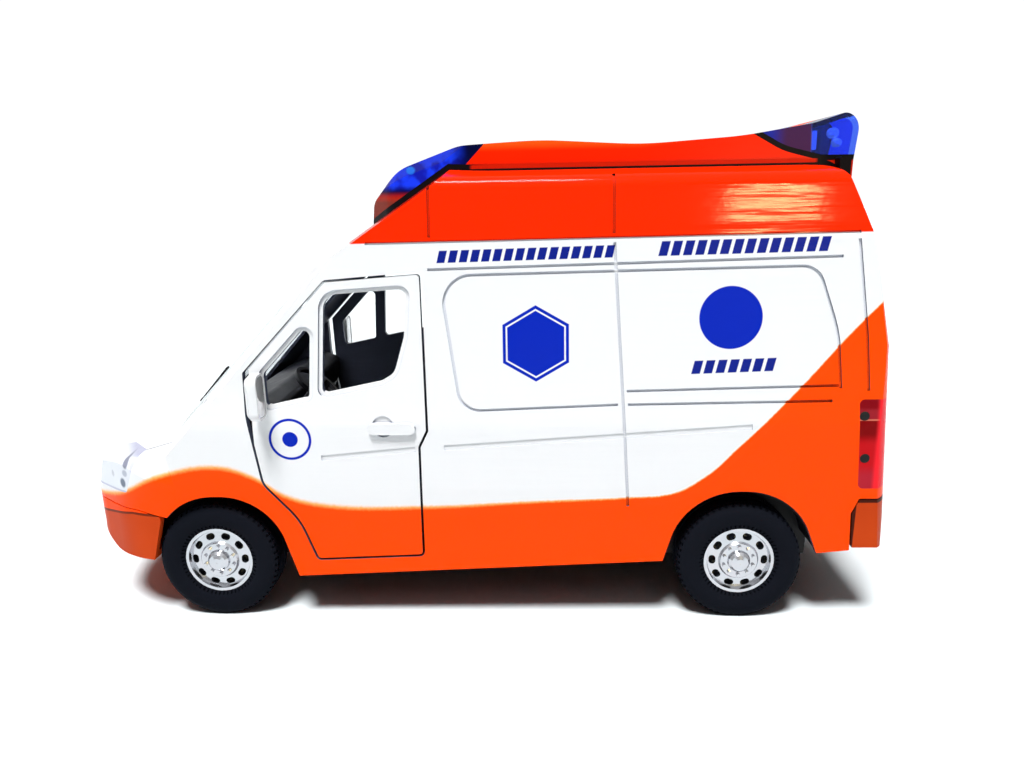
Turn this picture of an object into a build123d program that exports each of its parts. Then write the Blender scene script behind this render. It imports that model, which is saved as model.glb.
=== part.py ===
from build123d import *
import os
from math import cos, radians, sin, tan

# Die-cast toy high-roof ambulance, about 1:36.
# Millimetres. +Z up, the floor at Z = 0, the nose towards -X, the left side towards -Y.
# The origin is under the middle of the overall length.
# The casting is one closed outer form, hollowed to an even wall. Doors, glass, lamps and bumpers
# are pieces of that same wall, parted along the toy's real joints.

os.makedirs("parts", exist_ok=True)

# ---------------------------------------------------------------- driving sizes
WIDTH = 54.6                 # across the body sides
NOSE_X = -70.2               # foremost point of the bumper, on the centre line
TAIL_X = 70.7                # rear faces of the rear doors, at their foot
FRONT_AXLE_X = -43.0
REAR_AXLE_X = 47.0           # wheelbase 90
WALL = 1.4                   # casting wall
SKIN = 0.3                   # depth of cast-in grooves
GROOVE_W = 0.45
SWAGE_DEPTH = 0.15           # shallow form line along the side
SWAGE_W = 0.9
REBATE = 0.35                # step around each window
REBATE_W = 0.7
DOOR_GAP = 0.4
REAR_GAP = 0.5               # over and under the rear doors

TYRE_R = 10.45
TYRE_W = 6.4
TYRE_FACE_Y = 26.6           # outer sidewall
TYRE_FLATS = 48              # the tyre is turned as this many flats, to keep it light
RIM_R = 5.9
AXLE_Z = TYRE_R
AXLE_R = 1.0

HALF = WIDTH / 2
GLASS_FOOT = (-56.0, 29.9)   # X, Z of the windscreen's foot on the centre line
GLASS_ANGLE = 46.3           # rake of the windscreen from level
GLASS_BOW = 4.6              # how far the windscreen's sides fall back
ROOF_FOOT = (-28.3, 58.9)
ROOF_ANGLE = 33.3            # rake of the roof's front slope
FACE_FOOT = (-70.6, 20.6)
FACE_ANGLE = 76.0            # lean of the nose above the bumper
HOOD_FOOT = (-66.9, 28.0)
HOOD_ANGLE = 15.6

# The front doors turn about an upright line just under their skin, the rear doors about one
# inside the tail's corners: X, Y, radius of the rounded edge round that line, lowest and highest Z.
FRONT_HINGE = (-34.1, 27.0, 0.32, 36.9, 43.3)
REAR_HINGE = (70.1, 22.5, 0.5, 24.0, 36.0)

# Side view of the box: X, Z, corner radius.
CABIN_SIDE = [
    (*GLASS_FOOT, 1.0),
    (*ROOF_FOOT, 12.0),
    (-1.5, 76.5, 12.0),
    (34.0, 76.6, 200.0),
    (60.4, 75.2, 4.0),
    (65.6, 64.6, 6.0),
    (69.2, 48.0, 40.0),
    (TAIL_X, 23.0, 20.0),
    (TAIL_X - 1.1, 2.0, 0.5),
    (-56.0, 2.0, 0.5),
]
# Side view of the nose: X, Z, corner radius.
NOSE_SIDE = [
    (-36.0, 10.8, 0.5),
    (-62.8, 10.8, 5.0),
    (-68.4, 15.0, 5.0),
    (NOSE_X, 20.6, 8.0),
    (-68.4, 25.4, 3.0),
    (-65.6, 28.3, 3.0),
    (-36.0, 36.6, 0.5),
]
# Front view, right half from the bottom up: Y, Z, corner radius.
SECTION = [
    (HALF - 0.7, 0.5, 0.5),
    (HALF - 0.4, 12.0, 20.0),
    (HALF, 24.0, 20.0),
    (HALF, 35.0, 12.0),
    (HALF - 2.5, 64.6, 4.0),
    (HALF - 3.7, 74.3, 2.4),
    (14.0, 76.5, 30.0),
]
# Plan view, right half from the nose back: X, Y, corner radius.
PLAN = [
    (NOSE_X - 0.4, 8.5, 24.0),
    (-66.6, 19.6, 8.0),
    (-57.0, 26.6, 18.0),
    (-46.0, HALF + 0.2, 30.0),
    (TAIL_X + 9.0, HALF + 0.2, 0.5),
]
# The tail's rounded corners, one row for each lean of the tail: X, Z of the foot, lean in degrees.
TAIL_LEANS = [(TAIL_X, 24.0, 3.4), (69.2, 48.0, 12.2), (65.6, 64.6, 26.1)]
CORNER_R = 4.7
# Front door, left or right, in side view: X, Z, corner radius.
DOOR_OUTLINE = [
    (-5.2, 60.1, 1.0),
    (-4.9, 34.3, 0.6),
    (-6.3, 31.5, 0.6),
    (-6.5, 11.7, 1.0),
    (-25.2, 10.9, 1.0),
    (-27.8, 18.4, 12.0),
    (-33.5, 25.0, 4.0),
    (-35.2, 37.0, 8.0),
    (-35.2, 44.2, 0.8),
    (-21.0, 59.0, 1.2),
]
MAIN_WINDOW = [
    (-7.8, 57.4, 1.2),
    (-8.4, 49.8, 3.0),
    (-10.2, 43.8, 3.0),
    (-12.4, 42.5, 2.0),
    (-22.2, 40.5, 0.8),
    (-21.2, 56.6, 2.5),
]
QUARTER_WINDOW = [
    (-23.6, 52.6, 1.0),
    (-24.4, 40.0, 0.8),
    (-31.6, 38.5, 0.8),
    (-31.8, 44.0, 1.0),
]
# Wheel arch openings in side view: X, Z, corner radius.
FRONT_ARCH = [(-56.5, 2.5, 0.5), (-50.6, 22.8, 11.0), (-32.8, 22.8, 11.0), (-27.2, 2.5, 0.5)]
REAR_ARCH = [(31.6, 2.5, 0.5), (37.6, 23.6, 11.5), (55.2, 23.6, 11.5), (63.3, 2.5, 0.5)]
# Lower edge of the casting in side view; all below it is cut away.
UNDERSIDE = [
    (-90.0, -5.0, 0.2),
    (-90.0, 20.6, 0.2),
    (-56.0, 20.0, 0.2),
    (-50.3, 18.8, 0.2),
    (-50.3, 7.4, 0.2),
    (-28.6, 7.9, 0.2),
    (34.5, 10.9, 0.2),
    (60.0, 12.4, 0.2),
    (64.9, 12.9, 0.2),
    (64.5, 19.6, 0.3),
    (65.6, 22.3, 0.3),
    (90.0, 22.3, 0.2),
    (90.0, -5.0, 0.2),
]
FRONT_BUMPER = [
    (-90.0, 10.5, 0.2),
    (-90.0, 20.4, 0.2),
    (-56.0, 19.8, 0.2),
    (-51.8, 18.9, 0.8),
    (-54.2, 10.5, 0.2),
]
REAR_BUMPER = [
    (65.1, 13.4, 0.4),
    (64.7, 19.6, 0.3),
    (65.8, 22.1, 0.3),
    (90.0, 22.1, 0.2),
    (90.0, 13.4, 0.2),
]
HEADLAMP_SIDE = [(-90.0, 22.8, 0.3), (-90.0, 40.0, 0.3), (-51.0, 40.0, 0.3), (-58.2, 22.8, 0.8)]
HEADLAMP_FRONT = [(13.5, 22.8, 0.8), (13.0, 27.0, 0.8), (17.0, 29.3, 1.0), (40.0, 31.2, 0.3), (40.0, 22.8, 0.3)]
TAIL_LAMP_SIDE = [(64.3, 39.1, 0.8), (90.0, 39.1, 0.2), (90.0, 24.1, 0.2), (65.2, 24.1, 0.8)]
TAIL_LAMP_Y = 23.7
GRILLE_HALF = 11.0
GRILLE_Z = (22.6, 27.0)
SLAT_PITCH = 1.1
SLAT_GAP = 0.6
SLAT_DEPTH = 0.8

REAR_DOOR_Y = 22.9
REAR_DOOR_Z = (22.6, 62.8)
WINDSCREEN = [(20.4, 4.6, 2.5), (18.6, 36.5, 3.0)]     # half width, distance up the glass

# Cast-in grooves of the side wall, in side view: each a list of X, Z, corner radius.
SIDE_GROOVES = [
    [(-4.2, 60.4, 0), (60.5, 61.6, 0)],                                            # belt under the roof
    [(26.0, 38.5, 0), (0.6, 37.6, 3.6), (-2.4, 59.4, 4.5), (25.4, 59.8, 0)],       # blind front window
    [(25.4, 59.8, 0), (56.8, 60.2, 3.5), (60.4, 49.8, 20.0), (61.2, 40.9, 0)],     # blind rear window
    [(27.4, 40.7, 0), (61.4, 41.4, 0)],
    [(27.6, 38.5, 0), (60.0, 38.9, 0)],
    [(25.3, 64.2, 0), (27.9, 21.0, 0)],                                            # seam between the panels
    [(62.9, 64.2, 0), (64.9, 49.0, 30.0), (65.6, 40.5, 0)],                        # corner post
    [(-3.8, 65.4, 0), (-3.8, 74.4, 0)],                                            # roof joints
    [(25.2, 65.6, 0), (25.2, 74.6, 0)],
    [(-14.0, 64.6, 0), (63.0, 65.3, 0)],                                           # foot of the high roof
]
SWAGES = [[(-2.4, 31.4, 0), (47.6, 34.7, 0)], [(-23.0, 29.7, 0), (-7.2, 31.2, 0)]]
# Bonnet joint in plan: X, Y, corner radius, from the left lamp round to the right one.
BONNET_JOINT = [(-58.6, -22.7, 0), (-41.5, -22.4, 0.8), (-46.5, -19.6, 4.0), (-51.0, -11.0, 12.0),
                (-51.0, 11.0, 12.0), (-46.5, 19.6, 4.0), (-41.5, 22.4, 0.8), (-58.6, 22.7, 0)]

# Roof cap in side view: X, Z, corner radius.
CAP_SIDE = [
    (-16.6, 60.0, 0.2),
    (-15.9, 70.6, 2.5),
    (-9.8, 76.0, 9.0),
    (0.6, 79.5, 9.0),
    (14.0, 80.1, 60.0),
    (30.0, 79.1, 60.0),
    (46.0, 80.1, 60.0),
    (57.0, 81.8, 12.0),
    (65.4, 84.4, 2.4),
    (63.9, 76.2, 0.6),
    (62.6, 60.0, 0.2),
]
CAP_PLAN = [(-16.6, 4.5, 5.0), (-10.5, 14.5, 7.0), (4.0, 18.4, 30.0), (60.0, 18.4, 8.0), (66.4, 15.5, 3.0)]
CAP_DRAFT = 7.0
CAP_PLAN_Z = 77.0            # height at which the plan below holds
CAP_FOOT_Z = 61.0
LENS_WALL = 0.8
LENS_INNER_Y = 5.0
LENS_RIM = 0.85              # black line round the rear lenses
FRONT_LENS = [(-19.5, 70.0, 0.4), (-8.6, 75.0, 8.0), (-2.4, 76.9, 2.0), (2.0, 80.0, 3.0), (3.4, 86.0, 0.3),
              (-22.0, 86.0, 0.3)]
REAR_LENS = [(46.4, 82.0, 0.3), (52.6, 78.4, 10.0), (58.4, 76.9, 8.0), (68.0, 77.0, 0.3), (68.0, 90.0, 0.3),
             (46.0, 90.0, 0.3)]
SEAL_H = 0.9


# ---------------------------------------------------------------- shared forms
def split_radii(rows):
    return [(a, b) for a, b, r in rows], [r for a, b, r in rows]


def mirrored(rows):
    """A right half and its mirror image, as one closed outline."""
    return rows + [(-b, c, r) for b, c, r in reversed(rows)]


def plan_rows(rows):
    """A plan outline's right half and its mirror image, as one closed outline."""
    return rows + [(x, -y, r) for x, y, r in reversed(rows)]


def outline_face(rows, inset=0.0):
    """A closed outline with its corner radii, moved inwards by inset."""
    points, radii = split_radii(rows)
    with BuildSketch() as sketch:
        with BuildLine():
            FilletPolyline(*points, radius=radii, close=True)
        make_face()
        if inset:
            offset(amount=-inset, kind=Kind.INTERSECTION)
    return sketch.sketch


def line_face(rows, width):
    """An open line of X, Z and corner radius, drawn as a band of the given width."""
    points, radii = split_radii(rows)
    with BuildSketch() as sketch:
        with BuildLine():
            if len(points) == 2:
                Line(*points)
            else:
                FilletPolyline(*points, radius=radii[1:-1])
        trace(line_width=width)
    return sketch.sketch


def bow_prism(foot, angle, bow, inset):
    """All that lies behind a front face that is bowed in plan and leans back at angle."""
    along = (cos(radians(angle)), 0, sin(radians(angle)))
    with BuildPart() as prism:
        with BuildSketch(Plane(origin=(foot[0], 0, foot[1]), x_dir=(0, 1, 0), z_dir=along)):
            with BuildLine():
                ThreePointArc((-HALF, -bow - inset), (0, -inset), (HALF, -bow - inset))
                Line((HALF, -bow - inset), (HALF, -120))
                Line((HALF, -120), (-HALF, -120))
                Line((-HALF, -120), (-HALF, -bow - inset))
            make_face()
        extrude(amount=160, both=True)
    return prism.part


def hood_prism(inset):
    """The bonnet's crown and the wings' shoulders, running up the bonnet's slope."""
    along = (cos(radians(HOOD_ANGLE)), 0, sin(radians(HOOD_ANGLE)))
    rows = [(HALF - 0.4, -60, 0.5), (HALF, -6.0, 12.0), (HALF - 2.2, -1.9, 2.5), (13.0, 0.0, 30.0)]
    with BuildPart() as prism:
        with BuildSketch(Plane(origin=(HOOD_FOOT[0], 0, HOOD_FOOT[1]), x_dir=(0, 1, 0), z_dir=along)):
            add(outline_face(mirrored(rows), inset))
        extrude(amount=80, both=True)
    return prism.part


def tail_prism(foot_x, foot_z, lean, inset):
    """All that lies ahead of a tail face that leans forward, with its upright edges rounded."""
    along = (-sin(radians(lean)), 0, cos(radians(lean)))
    rows = [(HALF + 1, -120, 0.5), (HALF + 1, 0, CORNER_R + 0.8)]
    with BuildPart() as prism:
        with BuildSketch(Plane(origin=(foot_x, 0, foot_z), x_dir=(0, 1, 0), z_dir=along)):
            add(outline_face([(y, -ahead, r) for y, ahead, r in mirrored(rows)], inset))
        extrude(amount=120, both=True)
    return prism.part


def hull(inset):
    """The outer form of body, doors, lamps and bumpers together, moved inwards by inset."""
    plan = outline_face(plan_rows(PLAN), inset)
    with BuildPart() as cabin:
        with BuildSketch(Plane.XZ):
            add(outline_face(CABIN_SIDE, inset))
        extrude(amount=HALF + 5, both=True)
        with BuildSketch(Plane.YZ.offset(-90)):
            add(outline_face(mirrored(SECTION), inset))
        extrude(amount=180, mode=Mode.INTERSECT)
        with BuildSketch(Plane.XY):
            add(plan)
        extrude(amount=90, mode=Mode.INTERSECT)
        add(bow_prism(GLASS_FOOT, GLASS_ANGLE, GLASS_BOW, inset), mode=Mode.INTERSECT)
        add(bow_prism(ROOF_FOOT, ROOF_ANGLE, 2.2, inset), mode=Mode.INTERSECT)
        for foot_x, foot_z, lean in TAIL_LEANS:
            add(tail_prism(foot_x, foot_z, lean, inset), mode=Mode.INTERSECT)
    with BuildPart() as nose:
        with BuildSketch(Plane.XZ):
            add(outline_face(NOSE_SIDE, inset))
        extrude(amount=HALF + 5, both=True)
        with BuildSketch(Plane.XY):
            add(plan)
        extrude(amount=90, mode=Mode.INTERSECT)
        add(hood_prism(inset), mode=Mode.INTERSECT)
        add(bow_prism(FACE_FOOT, FACE_ANGLE, 8.0, inset), mode=Mode.INTERSECT)
    with BuildPart() as whole:
        add(cabin.part)
        add(nose.part)
    return whole.part


def side_prism(rows, y_from, y_to, inset=0.0):
    """A side-view outline as a block between two Y values."""
    with BuildPart() as prism:
        with BuildSketch(Plane.XZ.offset(-y_from)):
            add(outline_face(rows, inset))
        extrude(amount=-(y_to - y_from))
    return prism.part


def pair_of_prisms(rows, y_from, y_to, inset=0.0):
    """The same side-view outline on the left and on the right."""
    with BuildPart() as pair:
        add(side_prism(rows, y_from, y_to, inset))
        add(side_prism(rows, -y_to, -y_from, inset))
    return pair.part


def front_prism(rows, x_from, x_to):
    """A front-view outline as a block between two X values."""
    with BuildPart() as prism:
        with BuildSketch(Plane.YZ.offset(x_from)):
            add(outline_face(rows))
        extrude(amount=x_to - x_from)
    return prism.part


def block(x_range, y_range, z_range):
    with BuildPart() as box:
        with BuildSketch(Plane.XY.offset(z_range[0])):
            with Locations(((x_range[0] + x_range[1]) / 2, (y_range[0] + y_range[1]) / 2)):
                Rectangle(x_range[1] - x_range[0], y_range[1] - y_range[0])
        extrude(amount=z_range[1] - z_range[0])
    return box.part


def post(x, y, radius, z_from, z_to):
    """An upright round bar."""
    with BuildPart() as bar:
        with BuildSketch(Plane.XY.offset(z_from)):
            with Locations((x, y)):
                Circle(radius)
        extrude(amount=z_to - z_from)
    return bar.part


def common(first, *others):
    """What all the given forms share."""
    with BuildPart() as shared:
        add(first)
        for other in others:
            add(other, mode=Mode.INTERSECT)
    return shared.part


def without(first, *others):
    """The first form with the others cut away."""
    with BuildPart() as rest:
        add(first)
        for other in others:
            add(other, mode=Mode.SUBTRACT)
    return rest.part


def grooves(lines, width, floor):
    """Cutters for lines of the side walls, left and right, that reach down to the inner form floor."""
    with BuildPart() as cutter:
        for rows in lines:
            band = line_face(rows, width)
            for y_start in (-40, 18):
                with BuildSketch(Plane.XZ.offset(-y_start)):
                    add(band)
                extrude(amount=-22)
        add(floor, mode=Mode.SUBTRACT)
    return cutter.part


def save(part, label):
    part.label = label
    export_step(part, f"parts/{label}.step")


SIDES = (("left", -1), ("right", 1))
OUTER = hull(0)
INNER = hull(WALL)
GROOVE_FLOOR = hull(SKIN)
REBATE_FLOOR = hull(REBATE)
SHELL = without(OUTER, INNER)
SIDE_CUTS = [grooves(SIDE_GROOVES, GROOVE_W, GROOVE_FLOOR), grooves(SWAGES, SWAGE_W, hull(SWAGE_DEPTH))]

# ---------------------------------------------------------------- windscreen
GLASS_UP = (-sin(radians(GLASS_ANGLE)), 0, cos(radians(GLASS_ANGLE)))
GLASS_PLANE = Plane(origin=(GLASS_FOOT[0], 0, GLASS_FOOT[1]), x_dir=(0, -1, 0), z_dir=GLASS_UP)
with BuildPart() as glass_block:
    with BuildSketch(GLASS_PLANE):
        add(outline_face([(-w, up, r) for w, up, r in reversed(WINDSCREEN)] + WINDSCREEN))
    extrude(amount=8, both=True)
windscreen = without(common(OUTER, glass_block.part), hull(WALL - 0.2))
save(windscreen, "windscreen")

# ---------------------------------------------------------------- lamps and grille
inserts = [glass_block.part]
headlamp_zone = side_prism(HEADLAMP_SIDE, -40, 40)
for side, sign in SIDES:
    rows = [(sign * y, z, r) for y, z, r in HEADLAMP_FRONT]
    headlamp = common(SHELL, headlamp_zone, front_prism(rows, -80, -40))
    save(headlamp, f"headlamp_{side}")
    y_range = sorted((sign * TAIL_LAMP_Y, sign * 40))
    tail_lamp = common(SHELL, side_prism(TAIL_LAMP_SIDE, *y_range))
    save(tail_lamp, f"tail_lamp_{side}")
    inserts += [headlamp, tail_lamp]

grille_block = block((-80, -60), (-GRILLE_HALF, GRILLE_HALF), GRILLE_Z)
grille_panel = common(SHELL, grille_block)
slot_floor = hull(SLAT_DEPTH)
with BuildPart() as grille:
    add(grille_panel)
    for row in range(3):
        z = GRILLE_Z[0] + 0.7 + row * SLAT_PITCH
        slot = block((-80, -60), (-GRILLE_HALF + 0.8, GRILLE_HALF - 0.8), (z, z + SLAT_GAP))
        add(without(slot, slot_floor), mode=Mode.SUBTRACT)
save(grille.part, "grille")
inserts.append(grille_panel)

# ---------------------------------------------------------------- body shell
with BuildPart() as bonnet_joint:
    points, radii = split_radii(BONNET_JOINT)
    with BuildSketch(Plane.XY.offset(26)):
        with BuildLine():
            FilletPolyline(*points, radius=radii[1:-1])
        trace(line_width=GROOVE_W)
    extrude(amount=30)
    add(block((-80, -60), (-13, 13), (27.5, 27.9)))
    add(GROOVE_FLOOR, mode=Mode.SUBTRACT)

hinge_x, hinge_y, hinge_r, hinge_low, hinge_high = REAR_HINGE
with BuildPart() as body_shell:
    add(SHELL)
    add(side_prism(UNDERSIDE, -40, 40), mode=Mode.SUBTRACT)
    add(side_prism(FRONT_ARCH, -40, 40), mode=Mode.SUBTRACT)
    add(side_prism(REAR_ARCH, -40, 40), mode=Mode.SUBTRACT)
    add(pair_of_prisms(DOOR_OUTLINE, 18, 40), mode=Mode.SUBTRACT)
    add(block((60, 80), (-REAR_DOOR_Y, REAR_DOOR_Y), REAR_DOOR_Z), mode=Mode.SUBTRACT)
    for side, sign in SIDES:
        hinge_room = post(hinge_x, sign * hinge_y, hinge_r + 0.3, REAR_DOOR_Z[0], hinge_high + 0.5)
        add(hinge_room, mode=Mode.SUBTRACT)
    for insert in inserts:
        add(insert, mode=Mode.SUBTRACT)
    for cut in SIDE_CUTS:
        add(cut, mode=Mode.SUBTRACT)
    add(bonnet_joint.part, mode=Mode.SUBTRACT)
save(body_shell.part, "body_shell")

# ---------------------------------------------------------------- front doors
HANDLE_AT = (-10.9, 34.8)
HANDLE_SIZE = (7.8, 1.9)
HANDLE_PROUD = 0.6
FINGER_CUP = (-12.4, 35.1, 1.8)
MIRROR_X = (-33.4, -31.4)
MIRROR_SIZE = (4.2, 7.6)
MIRROR_AT = (29.2, 40.8)
for side, sign in SIDES:
    y_range = sorted((sign * 18, sign * 40))
    hinge_x, hinge_y, hinge_r, hinge_low, hinge_high = FRONT_HINGE
    with BuildPart() as door:
        add(common(SHELL, side_prism(DOOR_OUTLINE, *y_range, DOOR_GAP), block((hinge_x, 0), (-40, 40), (0, 80))))
        add(common(SHELL, post(hinge_x, sign * hinge_y, hinge_r, hinge_low, hinge_high)))
        for window in (MAIN_WINDOW, QUARTER_WINDOW):
            add(side_prism(window, *y_range), mode=Mode.SUBTRACT)
            add(without(side_prism(window, *y_range, -REBATE_W), REBATE_FLOOR), mode=Mode.SUBTRACT)
        add(SIDE_CUTS[1], mode=Mode.SUBTRACT)
        with BuildSketch(Plane.XZ.offset(-sign * 26.9)):
            with Locations(FINGER_CUP[:2]):
                Circle(FINGER_CUP[2])
        extrude(amount=-sign * 2, mode=Mode.SUBTRACT)
        with BuildSketch(Plane.XZ.offset(-sign * 26.6)):
            with Locations(HANDLE_AT):
                SlotOverall(*HANDLE_SIZE)
        extrude(amount=-sign * (HALF + HANDLE_PROUD - 26.6))
    save(door.part, f"door_front_{side}")

    with BuildPart() as mirror:
        with BuildSketch(Plane.YZ.offset(MIRROR_X[0])):
            with Locations((sign * MIRROR_AT[0], MIRROR_AT[1])):
                RectangleRounded(*MIRROR_SIZE, 1.5)
        extrude(amount=MIRROR_X[1] - MIRROR_X[0])
        chamfer(mirror.faces().sort_by(Axis.X)[0].edges(), 0.6)
        with BuildSketch(Plane.YZ.offset(MIRROR_X[1])):
            with Locations((sign * MIRROR_AT[0], MIRROR_AT[1])):
                RectangleRounded(MIRROR_SIZE[0] - 0.8, MIRROR_SIZE[1] - 0.8, 1.1)
        extrude(amount=-0.2, mode=Mode.SUBTRACT)
        add(block((MIRROR_X[0] + 0.3, MIRROR_X[1] - 0.4), sorted((sign * 24, sign * 28)), (38.2, 40.6)))
        add(OUTER, mode=Mode.SUBTRACT)
    save(mirror.part, f"mirror_{side}")

# ---------------------------------------------------------------- rear doors
REAR_WINDOW_AT = (11.4, 50.0)
REAR_WINDOW_SIZE = (15.0, 15.5)
PLATE_Z = (27.0, 30.6)       # sunk panel low on each door
hinge_x, hinge_y, hinge_r, hinge_low, hinge_high = REAR_HINGE
for side, sign in SIDES:
    y_range = sorted((sign * 0.25, sign * (hinge_y - 0.1)))
    z_range = (REAR_DOOR_Z[0] + REAR_GAP, REAR_DOOR_Z[1] - REAR_GAP)
    with BuildPart() as rebate:
        with BuildSketch(Plane.YZ.offset(60)):
            with Locations((sign * REAR_WINDOW_AT[0], REAR_WINDOW_AT[1])):
                RectangleRounded(REAR_WINDOW_SIZE[0] + 2 * REBATE_W, REAR_WINDOW_SIZE[1] + 2 * REBATE_W, 3.2)
        extrude(amount=20)
        add(block((60, 80), sorted((sign * 4, sign * 18)), PLATE_Z))
        add(REBATE_FLOOR, mode=Mode.SUBTRACT)
    with BuildPart() as rear_door:
        add(common(SHELL, block((60, 80), y_range, z_range)))
        add(common(SHELL, post(hinge_x, sign * hinge_y, hinge_r, hinge_low, hinge_high)))
        with BuildSketch(Plane.YZ.offset(60)):
            with Locations((sign * REAR_WINDOW_AT[0], REAR_WINDOW_AT[1])):
                RectangleRounded(*REAR_WINDOW_SIZE, 2.5)
        extrude(amount=20, mode=Mode.SUBTRACT)
        add(rebate.part, mode=Mode.SUBTRACT)
        with BuildSketch(Plane.YZ.offset(68)):
            with Locations((sign * 2.2, 37.0)):
                SlotOverall(5.0, 1.3, rotation=90)
        extrude(amount=TAIL_X + 0.3 - 68)
    save(rear_door.part, f"door_rear_{side}")

# ---------------------------------------------------------------- bumpers
AIR_INTAKE = (block((-80, -60), (-13, 13), (12.2, 13.4)), block((-80, -60), (-13, 13), (14.2, 15.4)))
FOG_LAMP = (18.0, 15.4, 1.5)
PLATE = block((-80, -60), (-7.2, 7.2), (16.9, 19.2))
with BuildPart() as pockets:
    for intake in AIR_INTAKE:
        add(intake)
    with BuildSketch(Plane.YZ.offset(-80)):
        with Locations((FOG_LAMP[0], FOG_LAMP[1]), (-FOG_LAMP[0], FOG_LAMP[1])):
            Circle(FOG_LAMP[2])
    extrude(amount=20)
    add(hull(0.6), mode=Mode.SUBTRACT)
with BuildPart() as front_bumper:
    add(common(SHELL, side_prism(FRONT_BUMPER, -40, 40)))
    add(pockets.part, mode=Mode.SUBTRACT)
    add(without(PLATE, GROOVE_FLOOR), mode=Mode.SUBTRACT)
save(front_bumper.part, "front_bumper")
save(common(SHELL, side_prism(REAR_BUMPER, -40, 40)), "rear_bumper")

# ---------------------------------------------------------------- base plate
AXLES = (("front", FRONT_AXLE_X), ("rear", REAR_AXLE_X))
ARCH_LIPS = ((FRONT_AXLE_X, 10.9), (REAR_AXLE_X, 13.0))     # X, lowest Z of the wheel arch liners
BASE_SLAB = [
    (-54.0, 9.0, 0.2), (-28.0, 8.3, 0.5), (40.0, 11.5, 0.5), (66.0, 13.4, 0.2),
    (66.0, 14.9, 0.2), (40.0, 13.1, 0.5), (-28.0, 9.9, 0.5), (-54.0, 10.6, 0.2),
]
BASE_LOW_Z = 8.3
LINER_R = 12.5
LINER_WALL = 1.0
WELL_Y = 18.6
SCREW_X = (-16.0, 27.0)      # screw posts, and where a display stand is screwed on
SCREW_R = 0.9
SCREW_DEPTH = 4.5
SCREW_POST_R = 2.4
FIT = hull(WALL + 0.1)
with BuildPart() as base_plate:
    with BuildSketch(Plane.XZ.offset(-30)):
        add(outline_face(BASE_SLAB))
    extrude(amount=60)
    for axle, x in AXLES:
        with BuildSketch(Plane.XZ.offset(-30)):
            with Locations((x, AXLE_Z)):
                Circle(LINER_R + LINER_WALL)
        extrude(amount=60)
        add(block((x - 20, x + 20), (-(WELL_Y - LINER_WALL), WELL_Y - LINER_WALL), (13.6, 40)), mode=Mode.SUBTRACT)
    for y in (-12, 12):
        add(block((-28, 33), (y - 0.6, y + 0.6), (BASE_LOW_Z, 11)))
    for x in SCREW_X:
        add(post(x, 0, SCREW_POST_R, BASE_LOW_Z, 15.5))
    add(FIT, mode=Mode.INTERSECT)
    add(block((-90, 90), (-40, 40), (-5, BASE_LOW_Z)), mode=Mode.SUBTRACT)
    for x in SCREW_X:
        add(post(x, 0, SCREW_R, BASE_LOW_Z - 1, BASE_LOW_Z + SCREW_DEPTH), mode=Mode.SUBTRACT)
    for x, low in ARCH_LIPS:
        add(block((x - 14, x + 14), (WELL_Y, 30), (0, low)), mode=Mode.SUBTRACT)
        add(block((x - 14, x + 14), (-30, -WELL_Y), (0, low)), mode=Mode.SUBTRACT)
    for axle, x in AXLES:
        for side, sign in SIDES:
            with BuildSketch(Plane.XZ.offset(-sign * WELL_Y)):
                with Locations((x, AXLE_Z)):
                    Circle(LINER_R)
            extrude(amount=-sign * 20, mode=Mode.SUBTRACT)
        with BuildSketch(Plane.XZ.offset(-30)):
            with Locations((x, AXLE_Z)):
                Circle(AXLE_R + 0.06)
        extrude(amount=60, mode=Mode.SUBTRACT)
save(base_plate.part, "base_plate")

# ---------------------------------------------------------------- wheels
HUB_IN_Y = 21.4
RIM_FACE_Y = 26.0
TYRE_IN_Y = TYRE_FACE_Y - TYRE_W
# Half section of a hub: radius, Y. A lip, a web that rises to the nuts, and a domed cap.
HUB_PROFILE = [(AXLE_R, HUB_IN_Y), (RIM_R, HUB_IN_Y), (RIM_R, RIM_FACE_Y), (5.4, RIM_FACE_Y), (5.15, 25.3),
               (3.4, 25.6), (3.1, 26.0), (1.95, 26.0), (1.8, 26.5), (1.4, 26.9), (0.75, 27.1), (0, 27.15),
               (0, 24.2), (AXLE_R, 24.2)]
HAND_HOLES = (10, 4.4, 1.6, 1.15)        # count, pitch radius, length, width
WHEEL_NUTS = (10, 2.55, 0.33, 0.45)      # count, pitch radius, size, height over the web
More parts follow.
